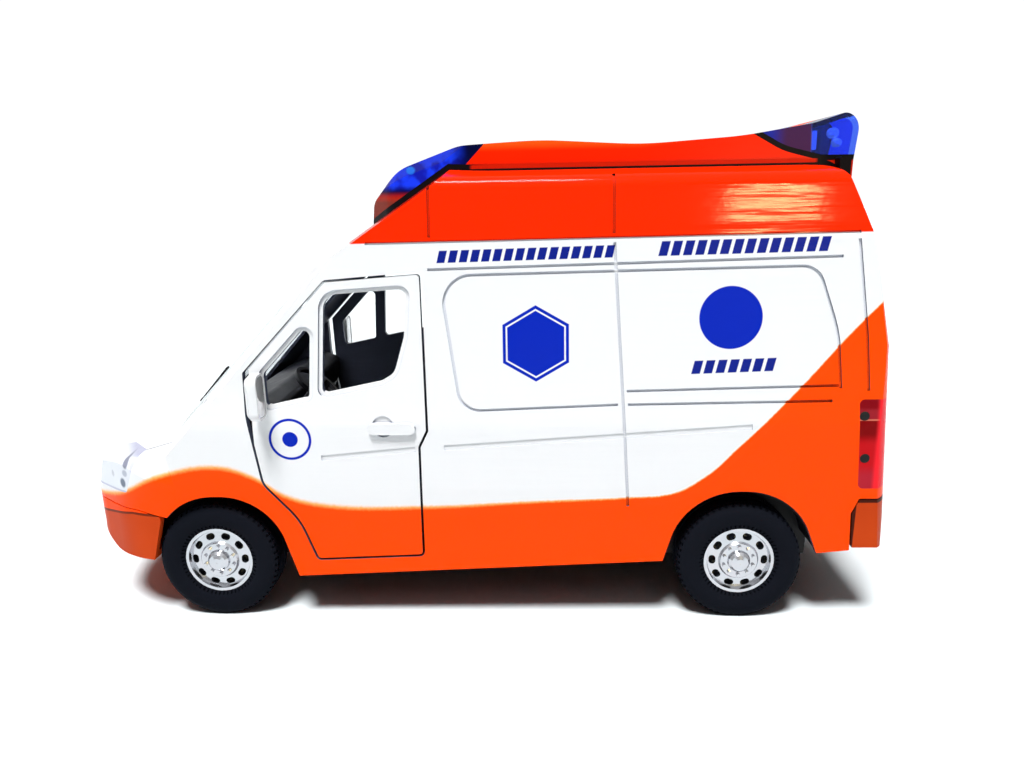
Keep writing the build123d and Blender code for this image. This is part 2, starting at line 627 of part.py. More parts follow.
# Tyre from its inner face out: distance from the nearer sidewall, radius.
TYRE_STEPS = [(0.0, 8.6), (0.35, 9.7), (1.3, TYRE_R)]
TYRE_SECTIONS = [(TYRE_IN_Y + y, r) for y, r in TYRE_STEPS] + [(TYRE_FACE_Y - y, r) for y, r in reversed(TYRE_STEPS)]
for axle, x in AXLES:
    with BuildPart() as axle_rod:
        with BuildSketch(Plane.XZ.offset(-24.2)):
            with Locations((x, AXLE_Z)):
                Circle(AXLE_R)
        extrude(amount=48.4)
    save(axle_rod.part, f"axle_{axle}")
    for side, sign in SIDES:
        with BuildPart() as hub:
            with BuildSketch(Plane(origin=(x, 0, AXLE_Z), x_dir=(1, 0, 0), z_dir=(0, 0, 1))):
                with BuildLine():
                    Polyline(*[(r, sign * y) for r, y in HUB_PROFILE], close=True)
                make_face()
            revolve(axis=Axis((x, 0, AXLE_Z), (0, 1, 0)))
            with BuildSketch(Plane.XZ.offset(-sign * 23.6)):
                with Locations((x, AXLE_Z)):
                    with PolarLocations(HAND_HOLES[1], HAND_HOLES[0]):
                        SlotOverall(HAND_HOLES[2], HAND_HOLES[3], rotation=90)
            extrude(amount=-sign * 4, mode=Mode.SUBTRACT)
            with BuildSketch(Plane.XZ.offset(-sign * 25.8)):
                with Locations((x, AXLE_Z)):
                    with PolarLocations(WHEEL_NUTS[1], WHEEL_NUTS[0], start_angle=18):
                        RegularPolygon(WHEEL_NUTS[2], 6)
            extrude(amount=-sign * (0.2 + WHEEL_NUTS[3]))
        save(hub.part, f"hub_{axle}_{side}")
        with BuildPart() as tyre:
            for y, radius in TYRE_SECTIONS:
                with BuildSketch(Plane.XZ.offset(-sign * y)):
                    with Locations((x, AXLE_Z)):
                        RegularPolygon(radius, TYRE_FLATS)
            loft(ruled=True)
            with BuildSketch(Plane.XZ.offset(-sign * (TYRE_IN_Y - 1))):
                with Locations((x, AXLE_Z)):
                    Circle(RIM_R)
            extrude(amount=-sign * (TYRE_W + 2), mode=Mode.SUBTRACT)
        save(tyre.part, f"tyre_{axle}_{side}")

# ---------------------------------------------------------------- motor
with BuildPart() as motor_housing:
    add(block((32, 52), (-9, 9), (13.8, 21)))
    fillet(motor_housing.edges().filter_by(Axis.Z), 1.5)
save(motor_housing.part, "motor_housing")

# ---------------------------------------------------------------- interior
FREE = hull(WALL + 0.6)
with BuildPart() as interior_tub:
    add(block((-29, -4), (-26, 26), (15.8, 16.8)))
    add(block((-4, -3), (-26, 26), (15.8, 44)))
    add(block((-3, 68), (-26, 26), (21.4, 22.4)))
    add(block((4, 50), (-26, -17.4), (22, 30)))
    add(FREE, mode=Mode.INTERSECT)
    for side, sign in SIDES:
        y_range = sorted((sign * (WELL_Y - LINER_WALL - 0.2), sign * 30))
        add(block((REAR_AXLE_X - 14, REAR_AXLE_X + 14), y_range, (10, 26)), mode=Mode.SUBTRACT)
save(interior_tub.part, "interior_tub")

SEAT_SIDE = [(-21, 16.8, 0.3), (-22.4, 23.4, 1.5), (-12.8, 22.2, 0.8), (-9.6, 41.4, 1.2), (-6.6, 41.4, 1.2),
             (-8.2, 16.8, 0.3)]
SEATS = {"seat_driver": ((-17.5, -7.0),), "seat_bench": ((-2.0, 7.6), (8.2, 17.8))}
for seat_name, places in SEATS.items():
    with BuildPart() as seat:
        for y_range in places:
            add(side_prism(SEAT_SIDE, *y_range))
        add(block((-16, -7), (places[0][0], places[-1][1]), (16.8, 21)))
    save(seat.part, seat_name)

DASH_SIDE = [(-46, 26, 0.5), (-45, 34.0, 1.5), (-36, 37.4, 1.5), (-32.6, 36.0, 1.2), (-33.4, 31, 1.0),
             (-36.0, 26, 0.5)]
with BuildPart() as dashboard:
    add(side_prism(DASH_SIDE, -24, 24))
    add(FREE, mode=Mode.INTERSECT)
save(dashboard.part, "dashboard")

WHEEL_AXIS = (0.62, 0, 0.78)
STEERING_PLANE = Plane(origin=(-27.6, -12, 38.2), x_dir=(0, 1, 0), z_dir=WHEEL_AXIS)
with BuildPart() as steering_wheel:
    with BuildSketch(STEERING_PLANE):
        Circle(4.6)
        Circle(3.9, mode=Mode.SUBTRACT)
        Rectangle(8.4, 0.9)
        Circle(1.2)
    extrude(amount=0.8)
    with BuildSketch(STEERING_PLANE):
        Circle(0.7)
    extrude(amount=-7)
    add(dashboard.part, mode=Mode.SUBTRACT)
    steering_parts = steering_wheel.solids().sort_by(SortBy.VOLUME)
save(steering_parts[-1], "steering_wheel")


# ---------------------------------------------------------------- roof cap
def cap_form(inset):
    """The whole cap down into the roof, its sides drawn in towards the top, moved inwards by inset."""
    flare = (CAP_PLAN_Z - CAP_FOOT_Z) * tan(radians(CAP_DRAFT))
    with BuildPart() as form:
        with BuildSketch(Plane.XY.offset(CAP_FOOT_Z)):
            add(outline_face(plan_rows(CAP_PLAN), inset - flare))
        extrude(amount=30, taper=CAP_DRAFT)
        with BuildSketch(Plane.XZ.offset(-30)):
            add(outline_face(CAP_SIDE, inset))
        extrude(amount=60, mode=Mode.INTERSECT)
    return form.part


RAISED = hull(-SEAL_H)
CAP_INNER = cap_form(LENS_WALL)
CAP_UPPER = without(cap_form(0), RAISED)
LENS_SKIN = without(CAP_UPPER, CAP_INNER)
LENSES = (("front", FRONT_LENS), ("rear", REAR_LENS))
for side, sign in SIDES:
    y_range = sorted((sign * LENS_INNER_Y, sign * 30))
    wall_range = sorted((sign * LENS_INNER_Y, sign * (LENS_INNER_Y + LENS_WALL)))
    for place, rows in LENSES:
        with BuildPart() as lens:
            add(common(LENS_SKIN, side_prism(rows, *y_range)))
            add(common(CAP_UPPER, side_prism(rows, *wall_range)))
        save(lens.part, f"beacon_{place}_{side}")

# The black moulding: a thin bed on the roof, a line round each rear lens, a lamp post inside it,
# and a tongue down each rear corner.
POST_X = (57.8, 59.4)
TONGUE = [(60.4, 76.5, 0.3), (62.2, 76.5, 0.3), (62.2, 73.2, 0.8), (60.6, 73.2, 0.8)]
BED = without(common(cap_form(0), RAISED), OUTER)
CORE = cap_form(LENS_WALL + 0.15)
with BuildPart() as roof_cap_seal:
    add(BED)
    for side, sign in SIDES:
        y_range = sorted((sign * LENS_INNER_Y, sign * 30))
        rim = without(side_prism(REAR_LENS, *y_range, -LENS_RIM), side_prism(REAR_LENS, *y_range))
        add(common(CAP_UPPER, rim))
        lamp_post = block(POST_X, sorted((sign * 8, sign * 14)), (74, 81.2))
        add(common(without(lamp_post, RAISED), CORE))
        add(without(side_prism(TONGUE, *sorted((sign * 15.5, sign * 20.5))), OUTER))
save(roof_cap_seal.part, "roof_cap_seal")

CORE_END_X = 56.8
with BuildPart() as roof_cap:
    add(CAP_UPPER)
    for side, sign in SIDES:
        y_range = sorted((sign * LENS_INNER_Y, sign * 30))
        add(side_prism(FRONT_LENS, *y_range), mode=Mode.SUBTRACT)
        add(side_prism(REAR_LENS, *y_range, -LENS_RIM), mode=Mode.SUBTRACT)
    for side, sign in SIDES:
        y_range = sorted((sign * (LENS_INNER_Y + LENS_WALL + 0.15), sign * 30))
        for place, rows in LENSES:
            core = common(without(CORE, RAISED), side_prism(rows, *y_range))
            add(common(core, block((-40, CORE_END_X), (-40, 40), (60, 95))))
    add(roof_cap_seal.part, mode=Mode.SUBTRACT)
save(roof_cap.part, "roof_cap")

# ---------------------------------------------------------------- wipers
WIPER_SIZE = (10.0, 0.8)
WIPER_TILT = 79
WIPER_BOSS_R = 0.75
WIPER_PROUD = 1.0
with BuildPart() as wipers:
    for across in (1.6, -12.5):
        sink = GLASS_BOW * (across / HALF) ** 2 + WIPER_PROUD
        with BuildSketch(GLASS_PLANE.offset(-sink)):
            with Locations(Location((across, 8.0, 0), WIPER_TILT)):
                Rectangle(*WIPER_SIZE)
            with Locations((across - 0.9, 3.4)):
                Circle(WIPER_BOSS_R)
        extrude(amount=2 * WIPER_PROUD)
    add(OUTER, mode=Mode.SUBTRACT)
save(wipers.part, "wipers")
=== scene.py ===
# %% [markdown]
# # A die-cast toy ambulance, finished in Blender
# The toy's shapes come packed from CAD as separate nodes: casting, doors, lamps, light bar and wheels.
# This notebook gives each node the finish of the real toy: sprayed enamel over zinc, tinted plastic,
# vacuum-plated hubs and soft rubber. It also models the small things that CAD leaves out.
# The first cell loads the nodes.

# %% Load the imported toy
import math
import bmesh
import bpy
from mathutils import Matrix, Vector


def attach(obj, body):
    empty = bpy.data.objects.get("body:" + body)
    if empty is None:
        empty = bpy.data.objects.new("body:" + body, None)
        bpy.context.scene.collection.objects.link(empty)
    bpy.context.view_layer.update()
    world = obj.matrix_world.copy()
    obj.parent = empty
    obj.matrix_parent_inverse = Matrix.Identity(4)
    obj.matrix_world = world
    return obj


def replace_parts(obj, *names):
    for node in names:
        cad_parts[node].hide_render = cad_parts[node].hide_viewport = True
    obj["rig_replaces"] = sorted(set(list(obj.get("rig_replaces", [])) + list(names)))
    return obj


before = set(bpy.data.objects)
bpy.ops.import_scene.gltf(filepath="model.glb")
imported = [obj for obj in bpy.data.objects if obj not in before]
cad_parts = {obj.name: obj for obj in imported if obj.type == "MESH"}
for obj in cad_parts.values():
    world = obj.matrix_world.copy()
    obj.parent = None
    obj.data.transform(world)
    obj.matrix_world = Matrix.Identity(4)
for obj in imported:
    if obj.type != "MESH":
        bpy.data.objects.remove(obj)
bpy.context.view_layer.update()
MM = 0.001

# %% [markdown]
# ## Camera
# The camera stands low on the toy's left side, a hand's breadth away, so the near wheels look larger
# than the far ones. It is placed first, because every later look is judged through it. Its direction is
# a turn about the upright, then a tilt, then a small roll, each as a matrix.

# %% Place the camera
CAMERA_AT = Vector((14.2, -147.0, 72.5)) * MM
CAMERA_TURN = math.radians(2.5)
CAMERA_TILT = math.radians(90 - 14.2)
CAMERA_ROLL = math.radians(-1.07)
SENSOR_WIDTH = 36.0
LENS_LENGTH = 27.04
CLIP_FROM = 0.005
CLIP_TO = 20.0
camera = bpy.data.objects.new("camera", bpy.data.cameras.new("camera"))
bpy.context.collection.objects.link(camera)
camera.data.sensor_width = SENSOR_WIDTH
camera.data.lens = LENS_LENGTH
camera.data.clip_start = CLIP_FROM
camera.data.clip_end = CLIP_TO
turned = Matrix.Rotation(CAMERA_TURN, 4, "Z") @ Matrix.Rotation(CAMERA_TILT, 4, "X")
camera.matrix_world = Matrix.Translation(CAMERA_AT) @ turned @ Matrix.Rotation(CAMERA_ROLL, 4, "Z")
bpy.context.scene.camera = camera
bpy.context.scene.view_settings.view_transform = "Standard"
print("camera", [round(v / MM, 1) for v in CAMERA_AT])

# %% [markdown]
# ## Floor and light
# A pale, matt sheet runs under the toy and a white surround stands behind it. One soft light hangs
# almost overhead and leans towards the camera, so the shadow stays under the toy. A weak, very wide one
# fills in, and the sheet throws light back on the sides. The surround gives diffuse surfaces very
# little, which keeps the shadow deep, but mirrors and clear plastic see it bright. A narrow lamp that
# only gloss sees leaves the streaks on the roof side.

# %% Sheet under and behind the toy
SHEET_SIZE = 6.0
SHEET_COLOUR = (0.76, 0.82, 0.84, 1)
bpy.ops.object.select_all(action="DESELECT")
bpy.ops.mesh.primitive_plane_add(size=SHEET_SIZE, location=(0, 0, 0))
sheet = bpy.context.active_object
sheet.name = "floor_sheet"
sheet_paper = bpy.data.materials.new("floor_paper")
sheet_paper.use_nodes = True
sheet_shader = sheet_paper.node_tree.nodes["Principled BSDF"]
sheet_shader.inputs["Base Color"].default_value = SHEET_COLOUR
sheet_shader.inputs["Roughness"].default_value = 0.75
sheet_shader.inputs["Specular IOR Level"].default_value = 0.0
sheet.data.materials.append(sheet_paper)
print("floor sheet is", SHEET_SIZE, "m wide")

# %% Surround and overhead lights
FILL = 0.02         # strength of the surround for diffuse rays
SEEN = 1.05         # its strength for the camera and for rays through clear plastic
MIRRORED = 0.55     # the share of that which gloss reflects
# Name, turn about the upright and lean from it in degrees, spread in degrees, strength.
SKY_LIGHTS = [("ceiling_light", -14, 20, 16, 4.75), ("wide_light", 0, 10, 90, 0.45)]
world = bpy.data.worlds.new("surround")
bpy.context.scene.world = world
world.use_nodes = True
surround = world.node_tree.nodes["Background"]
surround.inputs["Color"].default_value = (1.0, 1.0, 1.0, 1)
path = world.node_tree.nodes.new("ShaderNodeLightPath").outputs


def world_math(operation, first, second):
    """One step of sums in the surround's tree. The second value may be a number."""
    node = world.node_tree.nodes.new("ShaderNodeMath")
    node.operation = operation
    world.node_tree.links.new(first, node.inputs[0])
    if isinstance(second, bpy.types.NodeSocket):
        world.node_tree.links.new(second, node.inputs[1])
    else:
        node.inputs[1].default_value = second
    return node.outputs[0]


seen = world_math("MAXIMUM", path["Is Camera Ray"], path["Is Transmission Ray"])
seen = world_math("MAXIMUM", seen, world_math("MULTIPLY", path["Is Glossy Ray"], MIRRORED))
strength = world_math("ADD", world_math("MULTIPLY", seen, SEEN - FILL), FILL)
world.node_tree.links.new(strength, surround.inputs["Strength"])
for name, turn, lean, spread, power in SKY_LIGHTS:
    lamp = bpy.data.lights.new(name, "SUN")
    lamp.angle = math.radians(spread)
    lamp.energy = power
    holder = bpy.data.objects.new(name, lamp)
    bpy.context.collection.objects.link(holder)
    holder.rotation_euler = (math.radians(lean), 0, math.radians(turn))
print(len(SKY_LIGHTS), "overhead lights")

# %% A lamp for the glints on the roof side
GLINT_ON = Vector((50.0, -24.0, 69.5)) * MM
GLINT_FROM = Vector((0.275, -0.935, 0.215)).normalized()
GLINT_REACH = 0.6
GLINT_SIZE = (0.075, 0.016)
GLINT_POWER = 0.9
GLINT_COLOUR = (1.0, 0.80, 0.36)
glint_light = bpy.data.lights.new("glint_light", "AREA")
glint_light.shape = "RECTANGLE"
glint_light.size, glint_light.size_y = GLINT_SIZE
glint_light.energy = GLINT_POWER
glint_light.color = GLINT_COLOUR
glint = bpy.data.objects.new("glint_light", glint_light)
bpy.context.collection.objects.link(glint)
glint.location = GLINT_ON + GLINT_FROM * GLINT_REACH
glint.rotation_euler = GLINT_FROM.to_track_quat("Z", "Y").to_euler()
glint.visible_diffuse = False
glint.visible_camera = False
print("glint light at", [round(v, 3) for v in glint.location])

# %% [markdown]
# ## A helper for finishes
# Every finish is a small tree of nodes that reads the place of a point on the toy. Writing those trees
# link by link is long, so one class keeps the tree and adds each kind of node in a line. A value that is
# the same all over a piece is set straight on the shader. Most marks are masks: numbers that are 1
# inside the mark and 0 outside it, so that multiplying two masks keeps what lies in both.

# %% The finish helper
MIX_FACTOR, MIX_UNDER, MIX_OVER, MIX_RESULT = 0, 6, 7, 2    # a Mix node's sockets for colours


class Finish:
    """One material, with short ways to add the nodes that these finishes need."""

    def __init__(self, name, colour, roughness, **settings):
        self.material = bpy.data.materials.new(name)
        self.material.use_nodes = True
        self.nodes = self.material.node_tree.nodes
        self.links = self.material.node_tree.links
        self.shader = self.nodes["Principled BSDF"]
        self.shader.inputs["Base Color"].default_value = (*colour, 1)
        self.shader.inputs["Roughness"].default_value = roughness
        for socket, value in settings.items():
            self.shader.inputs[socket.replace("_", " ")].default_value = value
        self.place = self.nodes.new("ShaderNodeTexCoord").outputs["Object"]
        split = self.nodes.new("ShaderNodeSeparateXYZ")
        self.links.new(self.place, split.inputs[0])
        self.x, self.y, self.z = split.outputs

    def put(self, socket, value):
        """Links a socket's value, or sets a plain one."""
        if isinstance(value, bpy.types.NodeSocket):
            self.links.new(value, socket)
        else:
            socket.default_value = value

    def math(self, operation, *values):
        node = self.nodes.new("ShaderNodeMath")
        node.operation = operation
        for socket, value in zip(node.inputs, values):
            self.put(socket, value)
        return node.outputs[0]

    def scaled(self, value, factor, shift):
        """Value times factor, plus shift."""
        return self.math("ADD", self.math("MULTIPLY", value, factor), shift)

    def step(self, value, low, high):
        """0 below low, 1 above high, and a smooth rise in between. Low may be the larger, for a fall."""
        node = self.nodes.new("ShaderNodeMapRange")
        node.interpolation_type = "SMOOTHSTEP"
        self.put(node.inputs["Value"], value)
        self.put(node.inputs["From Min"], low)
        self.put(node.inputs["From Max"], high)
        return node.outputs["Result"]

    def step_mm(self, value, low, high):
        """A step between two places in millimetres."""
        return self.step(value, low * MM, high * MM)

    def below(self, value, limit, edge):
        """1 where value is under limit, with a soft edge."""
        return self.step(value, limit + edge, limit - edge)

    def between(self, value, low, high, edge):
        """1 from low to high, with soft edges."""
        rise = self.step(value, low - edge, low + edge)
        return self.math("MULTIPLY", rise, self.below(value, high, edge))

    def between_mm(self, value, low, high, edge):
        """1 between two places in millimetres."""
        return self.between(value, low * MM, high * MM, edge * MM)

    def spread(self, value, low, high, to_low, to_high):
        """Carries value from low and high to two other numbers in a straight line, and stops there."""
        node = self.nodes.new("ShaderNodeMapRange")
        self.put(node.inputs["Value"], value)
        node.inputs["From Min"].default_value = low
        node.inputs["From Max"].default_value = high
        node.inputs["To Min"].default_value = to_low
        node.inputs["To Max"].default_value = to_high
        return node.outputs["Result"]

    def joined(self, operation, masks):
        total = masks[0]
        for mask in masks[1:]:
            total = self.math(operation, total, mask)
        return total

    def all_of(self, *masks):
        return self.joined("MULTIPLY", masks)

    def any_of(self, *masks):
        return self.joined("MAXIMUM", masks)

    def blend(self, factor, under, over):
        """A colour that goes from under, where factor is 0, to over, where it is 1."""
        node = self.nodes.new("ShaderNodeMix")
        node.data_type = "RGBA"
        self.put(node.inputs[MIX_FACTOR], factor)
        for socket, value in ((MIX_UNDER, under), (MIX_OVER, over)):
            plain = not isinstance(value, bpy.types.NodeSocket)
            self.put(node.inputs[socket], (*value, 1) if plain else value)
        return node.outputs[MIX_RESULT]

    def noise(self, size, detail=2.0, roughness=0.5, stretch=1.0):
        """Cloudy noise whose blobs are about size metres across, and stretch times as long."""
        node = self.nodes.new("ShaderNodeTexNoise")
        mapping = self.nodes.new("ShaderNodeMapping")
        mapping.inputs["Scale"].default_value = (1.0 / stretch, 1.0, 1.0)
        self.put(mapping.inputs["Vector"], self.place)
        self.put(node.inputs["Vector"], mapping.outputs["Vector"])
        node.inputs["Scale"].default_value = 1.0 / size
        node.inputs["Detail"].default_value = detail
        node.inputs["Roughness"].default_value = roughness
        return node.outputs["Fac"]

    def from_point(self, x, z):
        """How far a point lies behind and above X, Z, which are in millimetres."""
        return self.math("SUBTRACT", self.x, x * MM), self.math("SUBTRACT", self.z, z * MM)

    def length(self, across, up):
        """The length of a slanted line from its two sides."""
        squares = [self.math("MULTIPLY", side, side) for side in (across, up)]
        return self.math("SQRT", self.math("ADD", *squares))

    def spot(self, x, z, wide, high, edge=0.3):
        """1 inside an oval at X, Z on the side, in millimetres, with an edge that fades by its share."""
        across, up = self.from_point(x, z)
        across, up = self.math("DIVIDE", across, wide * MM), self.math("DIVIDE", up, high * MM)
        return self.below(self.length(across, up), 1.0, edge)

    def crease_shade_mask(self, near=0.6):
        """1 deep in narrow grooves and corners, where shade is painted, 0 on open surfaces. Near is in
        millimetres.
        """
        node = self.nodes.new("ShaderNodeAmbientOcclusion")
        node.samples = 6
        node.only_local = True
        node.inputs["Distance"].default_value = near * MM
        return self.step(node.outputs["AO"], 0.75, 0.35)

    def colour(self, value):
        self.put(self.shader.inputs["Base Color"], value)

    def vary_roughness(self, factor, low, high):
        self.put(self.shader.inputs["Roughness"], self.spread(factor, 0.0, 1.0, low, high))

    def bump(self, height, depth):
        """Raises the surface by depth metres where height is 1."""
        node = self.nodes.new("ShaderNodeBump")
        node.inputs["Strength"].default_value = 1.0
        node.inputs["Distance"].default_value = depth
        self.put(node.inputs["Height"], height)
        self.put(self.shader.inputs["Normal"], node.outputs["Normal"])


def wear(finish, *nodes):
    """Gives CAD nodes a finish."""
    for name in nodes:
        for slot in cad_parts[name].material_slots:
            slot.material = finish.material


SIDES = ("left", "right")
ENDS = ("front", "rear")


def on_sides(*names):
    """The left and the right node of each name."""
    return [f"{name}_{side}" for name in names for side in SIDES]


print("finish helper for", len(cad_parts), "nodes")

# %% [markdown]
# ## The enamel
# The casting is sprayed white, masked, and sprayed orange on its roof and lower sides. At the front
# wing the orange ends in soft overspray, and at the tail along a sharp masked edge. Both are one
# line, height against length, kept in a curve node. A second, level line bounds the roof. The pad-printed
# badges are drawn by distance and by counting, so they stay crisp at any size. Lettering is left off:
# plain slanted blocks, a bare disc and a hexagon fill the printed places.

# %% Where the orange begins
WHITE = (0.80, 0.80, 0.81)
ORANGE = (1.0, 0.062, 0.0)
ROOF_ORANGE = (1.0, 0.021, 0.0)
PRINT_BLUE = (0.002, 0.019, 0.42)
PRINT_NAVY = (0.006, 0.015, 0.22)
EDGE_ORANGE = (1.0, 0.42, 0.10)
CREASE_SHADE_GREY = (0.50, 0.53, 0.63)
CREASE_SHADE_BROWN = (0.16, 0.022, 0.006)
DARK_INSIDE = (0.085, 0.095, 0.14)
# Lower edge of the white along the side, in millimetres: X, Z.
PAINT_LINE = [
    (-76.0, 19.0), (-68.0, 20.9), (-60.2, 22.7), (-51.0, 26.8), (-41.3, 28.4), (-35.5, 26.8), (-29.0, 22.9),
    (-22.3, 21.4), (-6.3, 21.1), (13.3, 22.0), (27.7, 22.6), (34.8, 23.2), (39.7, 25.7), (45.8, 31.5),
    (54.8, 41.0), (62.0, 49.3), (67.0, 54.6), (76.0, 64.0),
]
LINE_X = (-76.0, 76.0)
LINE_Z = 70.0


def painted_edge(finish):
    """The height of the painted edge at a point's own X, in metres."""
    along = finish.spread(finish.x, LINE_X[0] * MM, LINE_X[1] * MM, 0.0, 1.0)
    curve = finish.nodes.new("ShaderNodeFloatCurve")
    points = curve.mapping.curves[0].points
    for x, z in PAINT_LINE[1:-1]:
        points.new((x - LINE_X[0]) / (LINE_X[1] - LINE_X[0]), z / LINE_Z)
    points[0].location = (0.0, PAINT_LINE[0][1] / LINE_Z)
    points[-1].location = (1.0, PAINT_LINE[-1][1] / LINE_Z)
    curve.mapping.update()
    finish.put(curve.inputs["Value"], along)
    return finish.math("MULTIPLY", curve.outputs["Value"], LINE_Z * MM)


print("painted edge through", len(PAINT_LINE), "points")

# %% Printed badges
# Rows of blocks: X and Z of the lower left corner, length, height, rise along the row, how many blocks.
BLOCK_ROWS = [
    (-2.8, 61.4, 28.2, 1.9, 0.5, 16), (32.0, 62.0, 26.5, 2.25, 0.4, 14), (37.5, 43.4, 13.4, 2.1, 0.4, 7),
]
BLOCK_FILL = 0.72            # the printed share of each block's length
BLOCK_GAP = 0.04             # the bare share before it
BLOCK_BLUR = 0.025           # how soft its ends are, as a share
BLOCK_SLANT = 0.25
DISC = (43.6, 52.3, 4.95)    # X, Z, radius
RING = (-28.0, 33.0, 3.35)   # X, Z, radius
RING_HALF = 0.22             # half the width of the ring's line
DOT_R = 1.30                 # the dot in the middle of the ring
DOT_EDGE = 0.05
HEXAGON = (12.85, 48.5, 5.3)    # X, Z, distance from the middle to a side
INLINE = (0.75, 0.5)            # how far in from the hexagon's side its white line starts and ends
CRISP = 0.06 * MM


def distance_from(finish, x, z):
    return finish.length(*finish.from_point(x, z))


def block_row(finish, x, z, length, height, rise, count):
    """A row of slanted blocks on a line that climbs slightly."""
    across, level = finish.from_point(x, z)
    up = finish.math("SUBTRACT", level, finish.math("MULTIPLY", across, rise / length))
    leaned = finish.math("SUBTRACT", across, finish.math("MULTIPLY", up, BLOCK_SLANT))
    turns = finish.math("DIVIDE", leaned, length / count * MM)
    return finish.all_of(
        finish.between(finish.math("FRACT", turns), BLOCK_GAP, BLOCK_GAP + BLOCK_FILL, BLOCK_BLUR),
        finish.between(leaned, 0, length * MM, CRISP),
        finish.between(up, 0, height * MM, CRISP),
    )


def hexagon_reach(finish, x, z):
    """Distance from the middle to the side of the hexagon that passes through a point."""
    across, up = finish.from_point(x, z)
    reach = finish.math("ABSOLUTE", across)
    for angle in (60, 120):
        c, s = math.cos(math.radians(angle)), math.sin(math.radians(angle))
        leaned = finish.math("ADD", finish.math("MULTIPLY", across, c), finish.math("MULTIPLY", up, s))
        reach = finish.math("MAXIMUM", reach, finish.math("ABSOLUTE", leaned))
    return reach


print(sum(row[-1] for row in BLOCK_ROWS), "printed blocks in", len(BLOCK_ROWS), "rows")

# %% Outside and inside of the casting
HEART = Vector((0, 0, 25)) * MM     # a point in the middle of the toy
INWARD_STEP = (-0.06, -0.10)


def inward(finish):
    """1 on faces that look into the toy, 0 on its outer faces and edges.

    The normal is turned back into the node's own space, so that an open door keeps its paint."""
    geometry = finish.nodes.new("ShaderNodeNewGeometry")
    normal = finish.nodes.new("ShaderNodeVectorTransform")
    normal.vector_type = "NORMAL"
    normal.convert_from, normal.convert_to = "WORLD", "OBJECT"
    finish.put(normal.inputs[0], geometry.outputs["True Normal"])
    ray = finish.nodes.new("ShaderNodeVectorMath")
    ray.operation = "SUBTRACT"
    finish.put(ray.inputs[0], finish.place)
    ray.inputs[1].default_value = HEART
    outwards = finish.nodes.new("ShaderNodeVectorMath")
    outwards.operation = "NORMALIZE"
    finish.put(outwards.inputs[0], ray.outputs[0])
    facing = finish.nodes.new("ShaderNodeVectorMath")
    facing.operation = "DOT_PRODUCT"
    finish.put(facing.inputs[0], outwards.outputs[0])
    finish.put(facing.inputs[1], normal.outputs[0])
    return finish.step(facing.outputs["Value"], *INWARD_STEP)


print("inside and outside part at", [round(v / MM) for v in HEART], "mm")

# %% Mix the enamel
SOFT_EDGE = 0.40 * MM
SHARP_EDGE = 0.12 * MM
SOFT_TO_X, SHARP_FROM_X = -22, 36    # the edge is soft up to the first and sharp from the second
SPRAY_GRAIN = 0.5
SPRAY_REACH = 0.3
DEEP_FROM, DEEP_TO = 0.2, 2.6        # where the rim turns to full orange, in widths of the edge
ROOF_EDGE_Z = 64.7 * MM
ROOF_RISE = 0.008
ROOF_EDGE = 0.08
EAVES = (-0.7, 0.5, 0.1)             # band at the roof's edge where the painted crease shade is kept light
EAVES_KEEP = 0.85
SIDE_FROM_Y = (21, 22)
BODY_GLOSS, ROOF_GLOSS = 0.20, 0.085
GLOSS_SWING = 0.06
enamel = Finish("enamel", WHITE, BODY_GLOSS, Specular_IOR_Level=0.06)
soft = enamel.spread(enamel.x, SOFT_TO_X * MM, SHARP_FROM_X * MM, SOFT_EDGE, SHARP_EDGE)
grain = enamel.math("SUBTRACT", enamel.noise(SPRAY_GRAIN * MM, 3.0), 0.5)
overspray = enamel.math("MULTIPLY", grain, SPRAY_REACH * MM)
below = enamel.math("SUBTRACT", enamel.math("ADD", painted_edge(enamel), overspray), enamel.z)
lower = enamel.step(below, enamel.math("MULTIPLY", soft, -1.0), soft)
deeper = enamel.step(below, enamel.math("MULTIPLY", soft, DEEP_FROM), enamel.math("MULTIPLY", soft, DEEP_TO))
over_roof_line = enamel.math("SUBTRACT", enamel.z, enamel.scaled(enamel.x, ROOF_RISE, ROOF_EDGE_Z))
roof = enamel.step_mm(over_roof_line, -ROOF_EDGE, ROOF_EDGE)

from_ring = distance_from(enamel, *RING[:2])
disc = enamel.below(distance_from(enamel, *DISC[:2]), DISC[2] * MM, CRISP)
ring_gap = enamel.math("ABSOLUTE", enamel.math("SUBTRACT", from_ring, RING[2] * MM))
ring = enamel.below(ring_gap, RING_HALF * MM, CRISP)
dot = enamel.below(from_ring, DOT_R * MM, DOT_EDGE * MM)
rows = enamel.any_of(*[block_row(enamel, *row) for row in BLOCK_ROWS])
reach = hexagon_reach(enamel, *HEXAGON[:2])
plate = enamel.below(reach, HEXAGON[2] * MM, CRISP)
inline = enamel.between(reach, *[(HEXAGON[2] - inset) * MM for inset in INLINE], CRISP)
side = enamel.step_mm(enamel.math("ABSOLUTE", enamel.y), *SIDE_FROM_Y)
